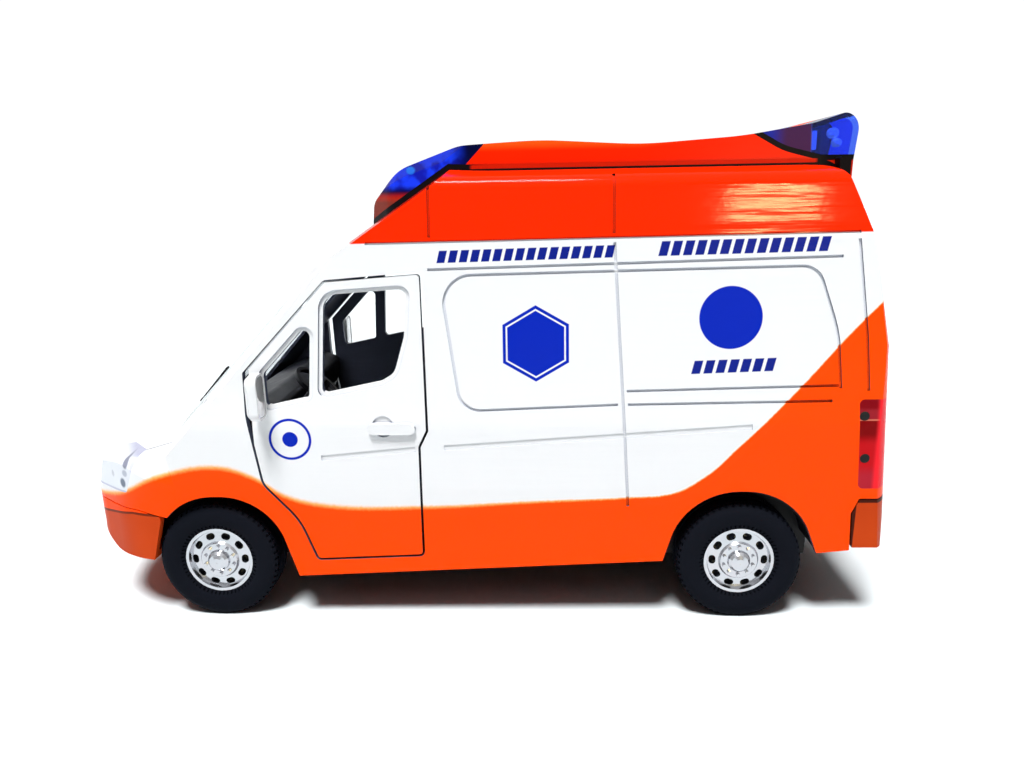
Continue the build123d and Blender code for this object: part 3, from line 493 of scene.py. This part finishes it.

# Grooves and corners get painted shade: grey on the white, brown on the orange, and less of it at the roof's
# edge.
at_eaves = enamel.scaled(enamel.between_mm(over_roof_line, *EAVES), -EAVES_KEEP, 1.0)
crease_shade = enamel.math("MULTIPLY", enamel.crease_shade_mask(), at_eaves)
fresh_orange = enamel.blend(deeper, EDGE_ORANGE, ORANGE)
paint = enamel.blend(crease_shade, WHITE, CREASE_SHADE_GREY)
paint = enamel.blend(lower, paint, enamel.blend(crease_shade, fresh_orange, CREASE_SHADE_BROWN))
paint = enamel.blend(roof, paint, enamel.blend(crease_shade, ROOF_ORANGE, CREASE_SHADE_BROWN))
round_marks = enamel.any_of(disc, ring, dot)
for mask, ink in ((rows, PRINT_NAVY), (round_marks, PRINT_BLUE), (plate, PRINT_BLUE), (inline, WHITE)):
    paint = enamel.blend(enamel.math("MULTIPLY", side, mask), paint, ink)
enamel.colour(enamel.blend(inward(enamel), paint, DARK_INSIDE))
waves = enamel.math("MULTIPLY", enamel.noise(1.3 * MM, 2.0, stretch=14.0), 6.0)
enamel.bump(enamel.math("ADD", enamel.noise(1.6 * MM, 2.0), waves), 0.006 * MM)
uneven = enamel.math("MULTIPLY", enamel.math("SUBTRACT", enamel.noise(3 * MM), 0.5), GLOSS_SWING)
gloss = enamel.spread(roof, 0.0, 1.0, BODY_GLOSS, ROOF_GLOSS)
enamel.put(enamel.shader.inputs["Roughness"], enamel.math("ADD", gloss, uneven))
wear(enamel, "body_shell", *on_sides("door_front", "door_rear"))

# The mirror's grooves and corners get painted shade.
MIRROR_CREASE_SHADE = (0.50, 0.36, 0.30)
shell_white = Finish("mirror_enamel", WHITE, BODY_GLOSS, Specular_IOR_Level=0.06)
shell_white.colour(shell_white.blend(shell_white.crease_shade_mask(0.4), WHITE, MIRROR_CREASE_SHADE))
shell_white.bump(shell_white.noise(1.6 * MM, 2.0), 0.006 * MM)
wear(shell_white, *on_sides("mirror"))
print("enamel on the casting in", len(enamel.nodes), "nodes")

# %% [markdown]
# ## Moulded plastics
# The base plate, bumpers, roof cap and inside are injection moulded. They differ from the enamel by
# a satin skin with a very fine grain, so each gets a faint bump and an uneven gloss and no clear coat.
# A mould also leaves steps too fine to model, such as the bumper's lip. Those are drawn as masks,
# and the shadow under the lip is painted.

# %% Plastics without marks
black_plastic = Finish("black_plastic", (0.008, 0.008, 0.009), 0.42, Specular_IOR_Level=0.15)
black_plastic.bump(black_plastic.noise(0.25 * MM, 3.0), 0.01 * MM)
black_plastic.vary_roughness(black_plastic.noise(4 * MM), 0.34, 0.50)
wear(black_plastic, "base_plate", "motor_housing", "grille", "wipers")

cabin = Finish("cabin_plastic", (0.009, 0.011, 0.017), 0.45, Specular_IOR_Level=0.3)
cabin.bump(cabin.noise(0.3 * MM, 3.0), 0.012 * MM)
cabin.vary_roughness(cabin.noise(3 * MM), 0.36, 0.55)
wear(cabin, "interior_tub", "seat_driver", "seat_bench", "dashboard", "steering_wheel")
print("black plastic and cabin plastic")

# %% Seal under the light bar
# Along the side only the foot of the step stays black. Its upper part has the cap's shaded red.
SEAL_BLACK = (0.005, 0.004, 0.005)
SHADED_RED = (0.50, 0.014, 0.002)
STEP_Z = (75.80, 76.39, 0.04)        # start, end and edge
STEP_X = (2.5, 57.5, 0.3)
STEP_FROM_Y = (15, 16)
seal = Finish("seal_black", SEAL_BLACK, 0.35, Specular_IOR_Level=0.03)
seal.vary_roughness(seal.noise(2 * MM), 0.28, 0.45)
upper_part = seal.all_of(
    seal.between_mm(seal.z, *STEP_Z),
    seal.step_mm(seal.math("ABSOLUTE", seal.y), *STEP_FROM_Y),
    seal.between_mm(seal.x, *STEP_X),
)
seal.colour(seal.blend(upper_part, SEAL_BLACK, SHADED_RED))
wear(seal, "roof_cap_seal")
print("seal shaded from", STEP_Z[0], "to", STEP_Z[1], "mm up")

# %% Bumpers
# The front bumper's upper lip is sprayed with the casting, down to a line that climbs from the nose.
# Under that line a dark band is painted shadow, and so are the rear bumper's top and front rims.
LIP_Z = 19.45
LIP_FROM_X = -57.5
LIP_FALL = 0.19
LIP_SHADOW_LINE = (-0.50, -0.40)     # how far under the lip the painted shadow line ends
LIP_PAINT = (-0.05, 0.05)
REAR_RIM_Z = (21.50, 21.60)
REAR_RIM_X = (65.35, 65.25)
RIM_SHADOW_BROWN = (0.055, 0.010, 0.005)
BUMPER_DARK, BUMPER_LIGHT = (0.47, 0.044, 0.006), (0.60, 0.064, 0.009)
bumper = Finish("bumper_plastic", (0.54, 0.052, 0.006), 0.30, Specular_IOR_Level=0.03)
behind_nose = bumper.math("MINIMUM", bumper.math("SUBTRACT", bumper.x, LIP_FROM_X * MM), 0.0)
over_lip = bumper.math("SUBTRACT", bumper.z, bumper.scaled(behind_nose, LIP_FALL, LIP_Z * MM))
at_front = bumper.step_mm(bumper.x, 1, 0)
at_rear = bumper.step_mm(bumper.x, 0, 1)
shade = bumper.blend(bumper.noise(9 * MM), BUMPER_DARK, BUMPER_LIGHT)
for band, tone in ((LIP_SHADOW_LINE, CREASE_SHADE_BROWN), (LIP_PAINT, ORANGE)):
    shade = bumper.blend(bumper.all_of(at_front, bumper.step_mm(over_lip, *band)), shade, tone)
# Painted shadow along the rear bumper's top and front rims, where it meets the casting.
rear_rim_shadow = bumper.any_of(bumper.step_mm(bumper.z, *REAR_RIM_Z), bumper.step_mm(bumper.x, *REAR_RIM_X))
bumper.colour(bumper.blend(bumper.all_of(rear_rim_shadow, at_rear), shade, RIM_SHADOW_BROWN))
bumper.bump(bumper.noise(0.4 * MM, 3.0), 0.006 * MM)
wear(bumper, "front_bumper", "rear_bumper")
print("bumpers with a lip at", LIP_Z, "mm")

# %% Roof cap
CAP_DARK, CAP_LIGHT = (0.90, 0.012, 0.0), (1.0, 0.020, 0.001)
CROWN_HIGHLIGHT_ORANGE = (1.0, 0.085, 0.006)
NOSE_BROWN = (0.20, 0.030, 0.018)
CAP_FOOT_SHADE_Z = (77.2, 76.2)
CROWN_Z = (78.3, 79.8)        # where the painted highlight on the crown starts, ahead of CROWN_TO_X
CROWN_TO_X = 30
CROWN_RISE = -0.12
NOSE_Z = (72.0, 70.5)
cap = Finish("cap_plastic", ROOF_ORANGE, 0.24, Specular_IOR_Level=0.03)
past_middle = cap.math("MAXIMUM", cap.math("SUBTRACT", cap.x, CROWN_TO_X * MM), 0.0)
crown = cap.math("ADD", cap.z, cap.math("MULTIPLY", past_middle, CROWN_RISE))
cap_red = cap.blend(cap.noise(12 * MM), CAP_DARK, CAP_LIGHT)
# The cap's foot is painted in shade and its crown in a lighter orange as painted light from above; its nose is
# brown.
for height, band, tone in (
    (cap.z, CAP_FOOT_SHADE_Z, SHADED_RED), (crown, CROWN_Z, CROWN_HIGHLIGHT_ORANGE), (cap.z, NOSE_Z, NOSE_BROWN)
):
    cap_red = cap.blend(cap.step_mm(height, *band), cap_red, tone)
cap.colour(cap_red)
cap.bump(cap.noise(0.8 * MM, 2.0), 0.005 * MM)
wear(cap, "roof_cap")
print("roof cap in three tones over its red")

# %% [markdown]
# ## Clear parts
# The beacons are hollow mouldings of clear blue plastic, so what is inside them shows through. A rear
# beacon is clear where it is empty and turns opaque over its core, because light that crosses many thin
# walls goes black; there the lens is painted with the lit core as seen through the blue. The front
# beacons are thick and deep blue, with clouds of painted light and one painted spot of light. The
# windscreen is plain glass. The lamps are opaque beds under a gloss coat. The headlamps' rims and the
# gaps round their reflectors are painted shade, and the tail lamps' bands are painted by height, with
# painted highlights along the split and the rear edge.

# %% Blue of the beacons
NAVY = (0.001, 0.002, 0.030)
DEEP_BLUE = (0.006, 0.012, 0.42)
BRIGHT_BLUE = (0.01, 0.05, 0.95)
SKY_BLUE = (0.01, 0.22, 1.0)
CLOUD_SIZE = 2.6
CLOUD_STEP = (0.40, 0.62)
BLUE_TAIL_X = (-1.8, 2.4)
BLUE_FOOT_Z = (73.6, 72.2)
LIT_SPOT = (-7.73, 75.84, 0.75, 0.6)    # X, Z, half width, half height


def thick_blue(finish):
    """Deep clear blue with clouds of painted light, darker towards its lower and rear ends, and a painted spot
    of light.
    """
    cloud = finish.step(finish.noise(CLOUD_SIZE * MM, 2.0), *CLOUD_STEP)
    blue = finish.blend(cloud, DEEP_BLUE, BRIGHT_BLUE)
    tail = finish.step_mm(finish.x, *BLUE_TAIL_X)
    foot = finish.step_mm(finish.z, *BLUE_FOOT_Z)
    blue = finish.blend(finish.any_of(tail, foot), blue, NAVY)
    return finish.blend(finish.spot(*LIT_SPOT), blue, SKY_BLUE)


front_beacon = Finish("beacon_front_blue", BRIGHT_BLUE, 0.05, Transmission_Weight=0.25, IOR=1.45)
front_beacon.colour(thick_blue(front_beacon))
front_beacon.bump(front_beacon.noise(3 * MM), 0.02 * MM)
wear(front_beacon, *on_sides("beacon_front"))
print("front beacons in", len(front_beacon.nodes), "nodes")

# %% Rear beacons
CLEAR_BLUE = (0.06, 0.16, 0.97)
CORE_VIEW_BLUE, CORE_VIEW_PURPLE = (0.012, 0.020, 0.30), (0.055, 0.012, 0.062)
CORE_VIEW_X = (50, 53)
CORE_END = 56.6
CORE_EDGE = 0.15
CLEAR, CORE_LOSS = 0.95, 0.85       # light let through where it is empty, and how much the core takes
rear_beacon = Finish(
    "beacon_rear_blue", CLEAR_BLUE, 0.03, IOR=1.03, Coat_Weight=0.5, Coat_Roughness=0.03
)
# Over the core the lens is opaque and painted with the lit core as seen through the blue, since the core inside
# gets no light.
over_core = rear_beacon.below(rear_beacon.x, CORE_END * MM, CORE_EDGE * MM)
core_view = rear_beacon.blend(rear_beacon.step_mm(rear_beacon.x, *CORE_VIEW_X), CORE_VIEW_BLUE, CORE_VIEW_PURPLE)
rear_beacon.colour(rear_beacon.blend(over_core, CLEAR_BLUE, core_view))
clearness = rear_beacon.scaled(over_core, -CORE_LOSS, CLEAR)
rear_beacon.put(rear_beacon.shader.inputs["Transmission Weight"], clearness)
rear_beacon.bump(rear_beacon.noise(3 * MM), 0.01 * MM)
wear(rear_beacon, *on_sides("beacon_rear"))
print("rear beacons, opaque ahead of", CORE_END, "mm")

# %% Blue skin on the cap
# The front lens runs down over the cap's nose as a thin skin of the same blue.
SKIN_END = (1.2, 76.0, 0.97)         # X and Z on the skin's rear edge, and how far X moves for each Z
SKIN_EDGE = (0.06, -0.06)
SKIN_FROM_Y = (4.9, 5.1)
SKIN_FROM_Z = (71.2, 72.6)
over_end = cap.math("SUBTRACT", cap.z, SKIN_END[1] * MM)
skin_end = cap.scaled(over_end, SKIN_END[2], SKIN_END[0] * MM)
skin = cap.all_of(
    cap.step_mm(cap.math("SUBTRACT", cap.x, skin_end), *SKIN_EDGE),
    cap.step_mm(cap.math("ABSOLUTE", cap.y), *SKIN_FROM_Y),
    cap.step_mm(cap.z, *SKIN_FROM_Z),
)
cap.colour(cap.blend(skin, cap_red, thick_blue(cap)))
print("cap in", len(cap.nodes), "nodes")

# %% Glass and headlamps
SILVER_WHITE = (0.72, 0.74, 0.80)
LAVENDER_SHADE = (0.46, 0.47, 0.62)
SHADED_RIM_BANDS = [(28.7, 29.3), (23.25, 23.05)]     # painted lavender shade along the top and the foot
# Painted shade in the gaps between the reflectors and their rims: X, Z, half width, half height, colour.
REFLECTOR_SHADES = [
    (-57.75, 28.20, 0.50, 0.95, (0.22, 0.23, 0.30)),
    (-58.03, 26.40, 0.55, 0.60, (0.42, 0.44, 0.53)),
    (-58.74, 24.55, 0.60, 0.85, (0.11, 0.14, 0.21)),
    (-61.15, 25.79, 0.35, 0.60, (0.50, 0.51, 0.58)),
    (-56.30, 27.60, 0.45, 1.10, (0.60, 0.61, 0.74)),
]
glass = Finish("windscreen_clear", (0.95, 0.97, 0.99), 0.01, Transmission_Weight=1.0, IOR=1.45)
wear(glass, "windscreen")

lamp_clear = Finish(
    "lamp_clear", SILVER_WHITE, 0.12, Coat_Weight=0.35, Coat_Roughness=0.03, Specular_IOR_Level=0.3
)
silver = SILVER_WHITE
for band in SHADED_RIM_BANDS:
    silver = lamp_clear.blend(lamp_clear.step_mm(lamp_clear.z, *band), silver, LAVENDER_SHADE)
for x, z, wide, high, tone in REFLECTOR_SHADES:
    silver = lamp_clear.blend(lamp_clear.spot(x, z, wide, high), silver, tone)
lamp_clear.colour(silver)
lamp_clear.bump(lamp_clear.noise(1.4 * MM, 1.0), 0.03 * MM)
wear(lamp_clear, *on_sides("headlamp"))
print("headlamps with", len(REFLECTOR_SHADES), "reflector marks")

# %% Tail lamps
# Bands of the red lens from the bottom up: start and end of the change, colour above it. The pale band
# at 35.6 mm is a painted highlight along the lens's split.
RED_FOOT = (0.42, 0.016, 0.030)
RED_BANDS = [
    (26.0, 28.5, (0.52, 0.006, 0.010)), (31.5, 33.6, (0.20, 0.002, 0.003)),
    (35.60, 35.68, (0.62, 0.16, 0.10)), (35.82, 35.90, (0.30, 0.014, 0.022)),
    (37.1, 37.9, (0.21, 0.002, 0.006)),
]
# A painted highlight along the lens's rear edge, where it turns the corner.
RED_CORNER_HIGHLIGHT = (0.90, 0.020, 0.030)
RED_CORNER_HIGHLIGHT_X = (67.0, 67.9)
lamp_red = Finish("lamp_red", RED_FOOT, 0.16, Specular_IOR_Level=0.04)
red = RED_FOOT
for low, high, tone in RED_BANDS:
    red = lamp_red.blend(lamp_red.step_mm(lamp_red.z, low, high), red, tone)
lamp_red.colour(lamp_red.blend(lamp_red.step_mm(lamp_red.x, *RED_CORNER_HIGHLIGHT_X), red, RED_CORNER_HIGHLIGHT))
lamp_red.bump(lamp_red.noise(0.6 * MM, 2.0), 0.01 * MM)
wear(lamp_red, *on_sides("tail_lamp"))
print("tail lamps with", len(RED_BANDS), "bands")

# %% [markdown]
# ## Wheels
# The hubs are plated like mirrors, so they show little but the surround, and the shade painted into their
# hand holes is what gives them form. It is a mask of depth and of distance from the axle. The tyres are
# soft black rubber, which shines very little and unevenly.

# %% Hub, axle and tyre finishes
WHEEL_X = (-43.0, 47.0)
WHEEL_BASE = WHEEL_X[1] - WHEEL_X[0]
WHEEL_Z = 10.45
HOLE_FROM_Y = (25.15, 24.4)
HOLE_RADII = (3.6, 5.2, 0.05)       # inner and outer reach of the holes, and the edge
PLATED = (0.56, 0.57, 0.60)
HOLE_SHADE_GREY = (0.075, 0.08, 0.09)
chrome = Finish("hub_chrome", PLATED, 0.16, Metallic=1.0)
at_rear = chrome.math("GREATER_THAN", chrome.x, 0.0)
axle_x = chrome.scaled(at_rear, WHEEL_BASE * MM, WHEEL_X[0] * MM)
across = chrome.math("SUBTRACT", chrome.x, axle_x)
radius = chrome.length(across, chrome.math("SUBTRACT", chrome.z, WHEEL_Z * MM))
# Painted shade deep in the hand holes.
deep = chrome.step_mm(chrome.math("ABSOLUTE", chrome.y), *HOLE_FROM_Y)
hole_shade = chrome.all_of(deep, chrome.between_mm(radius, *HOLE_RADII))
chrome.colour(chrome.blend(hole_shade, PLATED, HOLE_SHADE_GREY))
chrome.vary_roughness(chrome.noise(1.5 * MM), 0.10, 0.24)
chrome.bump(chrome.noise(0.9 * MM, 1.0), 0.015 * MM)
wear(chrome, *on_sides("hub_front", "hub_rear"))

steel = Finish("axle_steel", (0.60, 0.60, 0.61), 0.30, Metallic=1.0)
steel.vary_roughness(steel.noise(1.0 * MM, 4.0), 0.22, 0.42)
wear(steel, *[f"axle_{end}" for end in ENDS])

rubber = Finish("tyre_rubber", (0.006, 0.007, 0.011), 0.55, Specular_IOR_Level=0.02)
rubber.bump(rubber.noise(0.35 * MM, 3.0), 0.012 * MM)
rubber.vary_roughness(rubber.noise(2.5 * MM), 0.45, 0.65)
wear(rubber, *on_sides("tyre_front", "tyre_rear"))
print("axles", WHEEL_BASE, "mm apart")

# %% [markdown]
# ## Editing helpers
# New pieces are modelled with the same operators as by hand. These helpers choose faces or edges by
# their place, and tidy a finished piece so that its object sits at the origin. The toy is the same on
# both sides, so most pieces are made once, on the left, and mirrored.


# %% Modelling helpers
def add_box(at, size):
    """A new box with its middle and its full size in millimetres."""
    bpy.ops.mesh.primitive_cube_add(size=1, location=Vector(at) * MM)
    bpy.context.active_object.scale = Vector(size) * MM


def start(name):
    """Calls the newest primitive by its piece name and opens it for editing with nothing selected."""
    piece = bpy.context.active_object
    piece.name = name
    bpy.ops.object.transform_apply(location=True, rotation=True, scale=True)
    bpy.ops.object.mode_set(mode="EDIT")
    bpy.ops.mesh.select_all(action="DESELECT")
    return piece


def pick(piece, kind, test):
    """Selects the faces, edges or verts for which test is true, and says how many."""
    bpy.ops.mesh.select_mode(type={"faces": "FACE", "edges": "EDGE", "verts": "VERT"}[kind])
    bpy.ops.mesh.select_all(action="DESELECT")
    shape = bmesh.from_edit_mesh(piece.data)
    chosen = [item for item in getattr(shape, kind) if test(item)]
    for item in chosen:
        item.select_set(True)
    shape.select_flush_mode()
    bmesh.update_edit_mesh(piece.data)
    return len(chosen)


def middle(item):
    """The middle of an edge or a face, in millimetres."""
    total = sum((corner.co for corner in item.verts), Vector())
    return total / len(item.verts) / MM


def run_along(edge, axis):
    """How far an edge runs along an axis, in millimetres."""
    first, second = edge.verts
    return abs(first.co[axis] - second.co[axis]) / MM


def finish_piece(piece, finish, body, smooth=40):
    """Leaves edit mode, smooths what is round, and gives a piece its finish and the body it rides on."""
    bpy.ops.mesh.select_all(action="SELECT")
    bpy.ops.mesh.normals_make_consistent(inside=False)
    bpy.ops.object.mode_set(mode="OBJECT")
    bpy.ops.object.shade_smooth_by_angle(angle=math.radians(smooth))
    piece.data.materials.clear()
    piece.data.materials.append(finish.material)
    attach(piece, body)
    print(piece.name, len(piece.data.polygons), "faces")
    piece.select_set(False)


def twin_of(piece, name):
    """A copy with its own mesh, at the origin, that stands for no CAD node yet."""
    twin = piece.copy()
    twin.data = piece.data.copy()
    twin.name = name
    bpy.context.collection.objects.link(twin)
    if "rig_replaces" in twin:
        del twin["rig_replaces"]
    twin.parent = None
    twin.matrix_world = Matrix.Identity(4)
    return twin


def mirrored(piece, name):
    """A copy of a finished piece on the other side, with its faces outward."""
    twin = twin_of(piece, name)
    twin.data.transform(Matrix.Scale(-1, 4, (0, 1, 0)))
    twin.data.flip_normals()
    return twin


X, Y = 0, 1
print("helpers ready")

# %% [markdown]
# ## Tyres
# The real tyre has a smooth, slightly bulged sidewall and small square blocks round both shoulders.
# It starts as an open tube. Its two rims are pulled inwards ring by ring to form the sidewalls, and every
# other shoulder face is pressed in, which leaves the blocks standing. One tyre is made and the other
# three are copies, each with its own mesh.

# %% Model one tyre
TYRE_R = 10.42
TYRE_FACE_Y = 26.6
TYRE_MIDDLE_Y = TYRE_FACE_Y - 3.2
BLOCKS = 56
TREAD_HALF = 1.7        # half the width of the open tube
RIM_PAST = 1.6          # edges farther out than this are the tube's rim
LEVEL = 0.1             # an edge that runs less than this along the axle goes round it
# From the tread's edge to the bead: radius, distance from the tyre's middle.
SIDEWALL = [
    (10.32, 2.45), (9.95, 2.85), (9.3, 3.10), (8.4, 3.19), (7.4, 3.10), (6.7, 2.85), (6.15, 2.62), (5.92, 2.35),
]
bpy.ops.object.select_all(action="DESELECT")
bpy.ops.mesh.primitive_cylinder_add(
    vertices=2 * BLOCKS, radius=TYRE_R * MM, depth=2 * TREAD_HALF * MM, end_fill_type="NOTHING",
    rotation=(math.radians(90), 0, 0),
)
tyre = start("tyre_detail_front_left")
for out in (-1, 1):
    pick(tyre, "edges", lambda e, out=out: out * middle(e).y > RIM_PAST and run_along(e, Y) < LEVEL)
    was_radius, was_y = TYRE_R, TREAD_HALF
    for radius_now, y_now in SIDEWALL:
        bpy.ops.mesh.extrude_edges_move(TRANSFORM_OT_translate={"value": (0, out * (y_now - was_y) * MM, 0)})
        shrink = radius_now / was_radius
        bpy.ops.transform.resize(value=(shrink, 1, shrink), center_override=(0, 0, 0))
        was_radius, was_y = radius_now, y_now
print("tyre rings", len(SIDEWALL))

# %% Press the gaps between the shoulder blocks
SHOULDER = (1.9, 2.75)      # how far from the tyre's middle the blocks stand
GAP_INSET = 0.03
GAP_DEPTH = 0.28
CROWN_HALF = 1.5            # the smooth band round the middle, and how it is sunk
CROWN_INSET = 0.45
CROWN_DEPTH = 0.2


def is_gap(face):
    """Every other face of the band that runs from the crown over the shoulder."""
    spot = middle(face)
    turn = math.atan2(spot.z, spot.x) / (2 * math.pi) * 2 * BLOCKS
    return SHOULDER[0] < abs(spot.y) < SHOULDER[1] and int(math.floor(turn)) % 2 == 0


gaps = pick(tyre, "faces", is_gap)
bpy.ops.mesh.inset(thickness=GAP_INSET * MM, use_individual=True)
bpy.ops.mesh.extrude_faces_move(TRANSFORM_OT_shrink_fatten={"value": -GAP_DEPTH * MM})
print("gaps pressed", gaps)
crown_faces = pick(tyre, "faces", lambda f: abs(middle(f).y) < CROWN_HALF)
bpy.ops.mesh.inset(thickness=CROWN_INSET * MM, use_boundary=True)
bpy.ops.mesh.extrude_region_shrink_fatten(TRANSFORM_OT_shrink_fatten={"value": -CROWN_DEPTH * MM})
print("crown faces sunk", crown_faces)

# %% Close the bead and set the four tyres in place
pick(tyre, "edges", lambda e: e.is_boundary)
bpy.ops.mesh.bridge_edge_loops()
pick(tyre, "verts", lambda v: True)
bpy.ops.transform.translate(value=(WHEEL_X[0] * MM, -TYRE_MIDDLE_Y * MM, WHEEL_Z * MM))
finish_piece(tyre, rubber, "front_wheels", smooth=32)
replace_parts(tyre, "tyre_front_left")
for axle, side, along in (("front", "right", 0), ("rear", "left", WHEEL_BASE), ("rear", "right", WHEEL_BASE)):
    twin = twin_of(tyre, f"tyre_detail_{axle}_{side}")
    over = 2 * TYRE_MIDDLE_Y if side == "right" else 0
    twin.data.transform(Matrix.Translation(Vector((along, over, 0)) * MM))
    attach(twin, f"{axle}_wheels")
    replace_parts(twin, f"tyre_{axle}_{side}")
print("four tyres,", round(TYRE_R * 2, 2), "mm across")

# %% [markdown]
# ## Mirror glass
# Each door mirror is a cast shell with a shallow recess in its rear face. The glass is a bright foil that
# sits in the recess. It is a flat box whose corners are rounded by a bevel, and the second is a copy.

# %% Mirror glass
MIRROR_GLASS_X = -31.6
MIRROR_MIDDLE = (29.2, 40.8)
MIRROR_SIZE = (0.12, 3.3, 6.7)
MIRROR_CORNER = 1.0
BORDER = 0.18
PILLOW = 0.06           # how far the glass stands out inside its border
foil = Finish("mirror_foil", (0.80, 0.79, 0.80), 0.15, Metallic=0.6)
foil.vary_roughness(foil.noise(1.8 * MM), 0.08, 0.20)
bpy.ops.object.select_all(action="DESELECT")
add_box((MIRROR_GLASS_X + MIRROR_SIZE[0] / 2, -MIRROR_MIDDLE[0], MIRROR_MIDDLE[1]), MIRROR_SIZE)
mirror_glass = start("mirror_glass_left")
pick(mirror_glass, "edges", lambda e: run_along(e, X) > 0.1)
bpy.ops.mesh.bevel(offset=MIRROR_CORNER * MM, segments=6)
pick(mirror_glass, "faces", lambda f: f.normal.x > 0.9)
bpy.ops.mesh.inset(thickness=BORDER * MM)
bpy.ops.transform.translate(value=(PILLOW * MM, 0, 0))
finish_piece(mirror_glass, foil, "front_door_left")
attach(mirrored(mirror_glass, "mirror_glass_right"), "front_door_right")

# %% [markdown]
# ## Studs, screws and fog lamps
# Small round parts finish the toy: two black pins stand in each tail lamp, two cross-head screws sit in
# the posts under the base, and a clear lens fills each round recess of the front bumper. Each starts as
# a short cylinder whose outer end is inset and pulled out, so that it has a crown and not a flat end.

# %% A round crowned part
OUT_LEFT = Vector((0, -1, 0))
OUT_DOWN = Vector((0, 0, -1))
ROUND_SIDES = 24
CROWN_INSETS = (0.45, 0.30, 0.15)    # shares of the crown's height, a ring at a time
CROWN_STEP = 0.22                    # width of each ring, as a share of the radius


def round_part(name, at, out, radius, height, crown):
    """A short cylinder that ends in a crown, open for editing. Sizes are in millimetres."""
    bpy.ops.object.select_all(action="DESELECT")
    turn = out.to_track_quat("Z", "Y").to_euler()
    bpy.ops.mesh.primitive_cylinder_add(
        vertices=ROUND_SIDES, radius=radius * MM, depth=height * MM, location=Vector(at) * MM, rotation=turn
    )
    piece = start(name)
    pick(piece, "faces", lambda f: f.normal.dot(out) > 0.9)
    for share in CROWN_INSETS:
        bpy.ops.mesh.inset(thickness=CROWN_STEP * radius * MM)
        bpy.ops.transform.translate(value=out * crown * share * MM)
    return piece


print("a crown rises in", len(CROWN_INSETS), "rings")

# %% Pins in the tail lamps
PIN_SIZE = (0.78, 0.2, 0.1)      # radius, height, crown
PINS = [(65.21, -27.13, 36.37), (65.82, -27.23, 29.31)]
for number, at in enumerate(PINS):
    pin = round_part(f"lamp_pin_left_{number}", at, OUT_LEFT, *PIN_SIZE)
    finish_piece(pin, black_plastic, "body", smooth=50)
    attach(mirrored(pin, f"lamp_pin_right_{number}"), "body")

# %% Screws under the base
SCREW_X = (-16.0, 27.0)
SCREW_Z = 9.4
SCREW_SIZE = (0.86, 1.0, 0.2)
CROSS_Z = 8.75
CROSS_BARS = [(0.95, 0.22, 0.7), (0.22, 0.95, 0.7)]
for number, x in enumerate(SCREW_X):
    screw = round_part(f"base_screw_{number}", (x, 0, SCREW_Z), OUT_DOWN, *SCREW_SIZE)
    finish_piece(screw, steel, "body", smooth=50)
    for bar in CROSS_BARS:
        add_box((x, 0, CROSS_Z), bar)
        cutter = bpy.context.active_object
        bpy.ops.object.transform_apply(location=True, rotation=True, scale=True)
        cross = screw.modifiers.new("cross", "BOOLEAN")
        cross.object = cutter
        cross.operation = "DIFFERENCE"
        cross.solver = "EXACT"
        bpy.context.view_layer.objects.active = screw
        bpy.ops.object.modifier_apply(modifier="cross")
        bpy.data.objects.remove(cutter)
    print(screw.name, "has its cross,", len(screw.data.polygons), "faces")

# %% Fog lamps
FOG_AT = (-66.58, -18.0, 15.4)
FOG_OUT = Vector((-0.89, -0.455, 0))
FOG_SIZE = (1.42, 0.3, 0.25)
fog_clear = Finish(
    "fog_clear", SILVER_WHITE, 0.10, Coat_Weight=0.3, Coat_Roughness=0.03, Specular_IOR_Level=0.3
)
fog_clear.bump(fog_clear.noise(0.5 * MM, 1.0), 0.02 * MM)
fog_lamp = round_part("fog_lamp_left", FOG_AT, FOG_OUT, *FOG_SIZE)
finish_piece(fog_lamp, fog_clear, "body", smooth=50)
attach(mirrored(fog_lamp, "fog_lamp_right"), "body")

# %% [markdown]
# ## Inside the rear beacons
# The rear lenses are hollow, and a silver strip and two small bulbs show through the blue. The strip is
# a box with its long edges rounded, and each bulb is a round part with a high crown.

# %% Strip and bulbs
STRIP_AT = (57.4, -15.6, 79.2)
STRIP_SIZE = (0.7, 2.9, 2.9)
STRIP_ROUND = 0.15
BULB_Y = -14.2
BULB_HEIGHT, BULB_CROWN = 1.0, 0.6
BULBS = [(61.2, 80.4, 0.85), (61.9, 78.9, 0.7)]     # X, Z, radius
# The faint glow is painted light: the strip and the bulbs are no lamps, and it stands in for light caught
# inside the lens.
glowing_silver = Finish("bulb_silver_glow", (0.85, 0.86, 0.88), 0.15, Metallic=0.6, Emission_Strength=0.45)
glowing_silver.shader.inputs["Emission Color"].default_value = (1.0, 1.0, 1.0, 1)
glowing_silver.vary_roughness(glowing_silver.noise(0.8 * MM), 0.10, 0.25)
bpy.ops.object.select_all(action="DESELECT")
add_box(STRIP_AT, STRIP_SIZE)
strip = start("beacon_strip_left")
pick(strip, "edges", lambda e: run_along(e, Y) > 1)
bpy.ops.mesh.bevel(offset=STRIP_ROUND * MM, segments=2)
finish_piece(strip, glowing_silver, "body")
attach(mirrored(strip, "beacon_strip_right"), "body")
for number, (x, z, bulb_r) in enumerate(BULBS):
    bulb = round_part(f"beacon_bulb_left_{number}", (x, BULB_Y, z), OUT_LEFT, bulb_r, BULB_HEIGHT, BULB_CROWN)
    finish_piece(bulb, glowing_silver, "body", smooth=50)
    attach(mirrored(bulb, f"beacon_bulb_right_{number}"), "body")
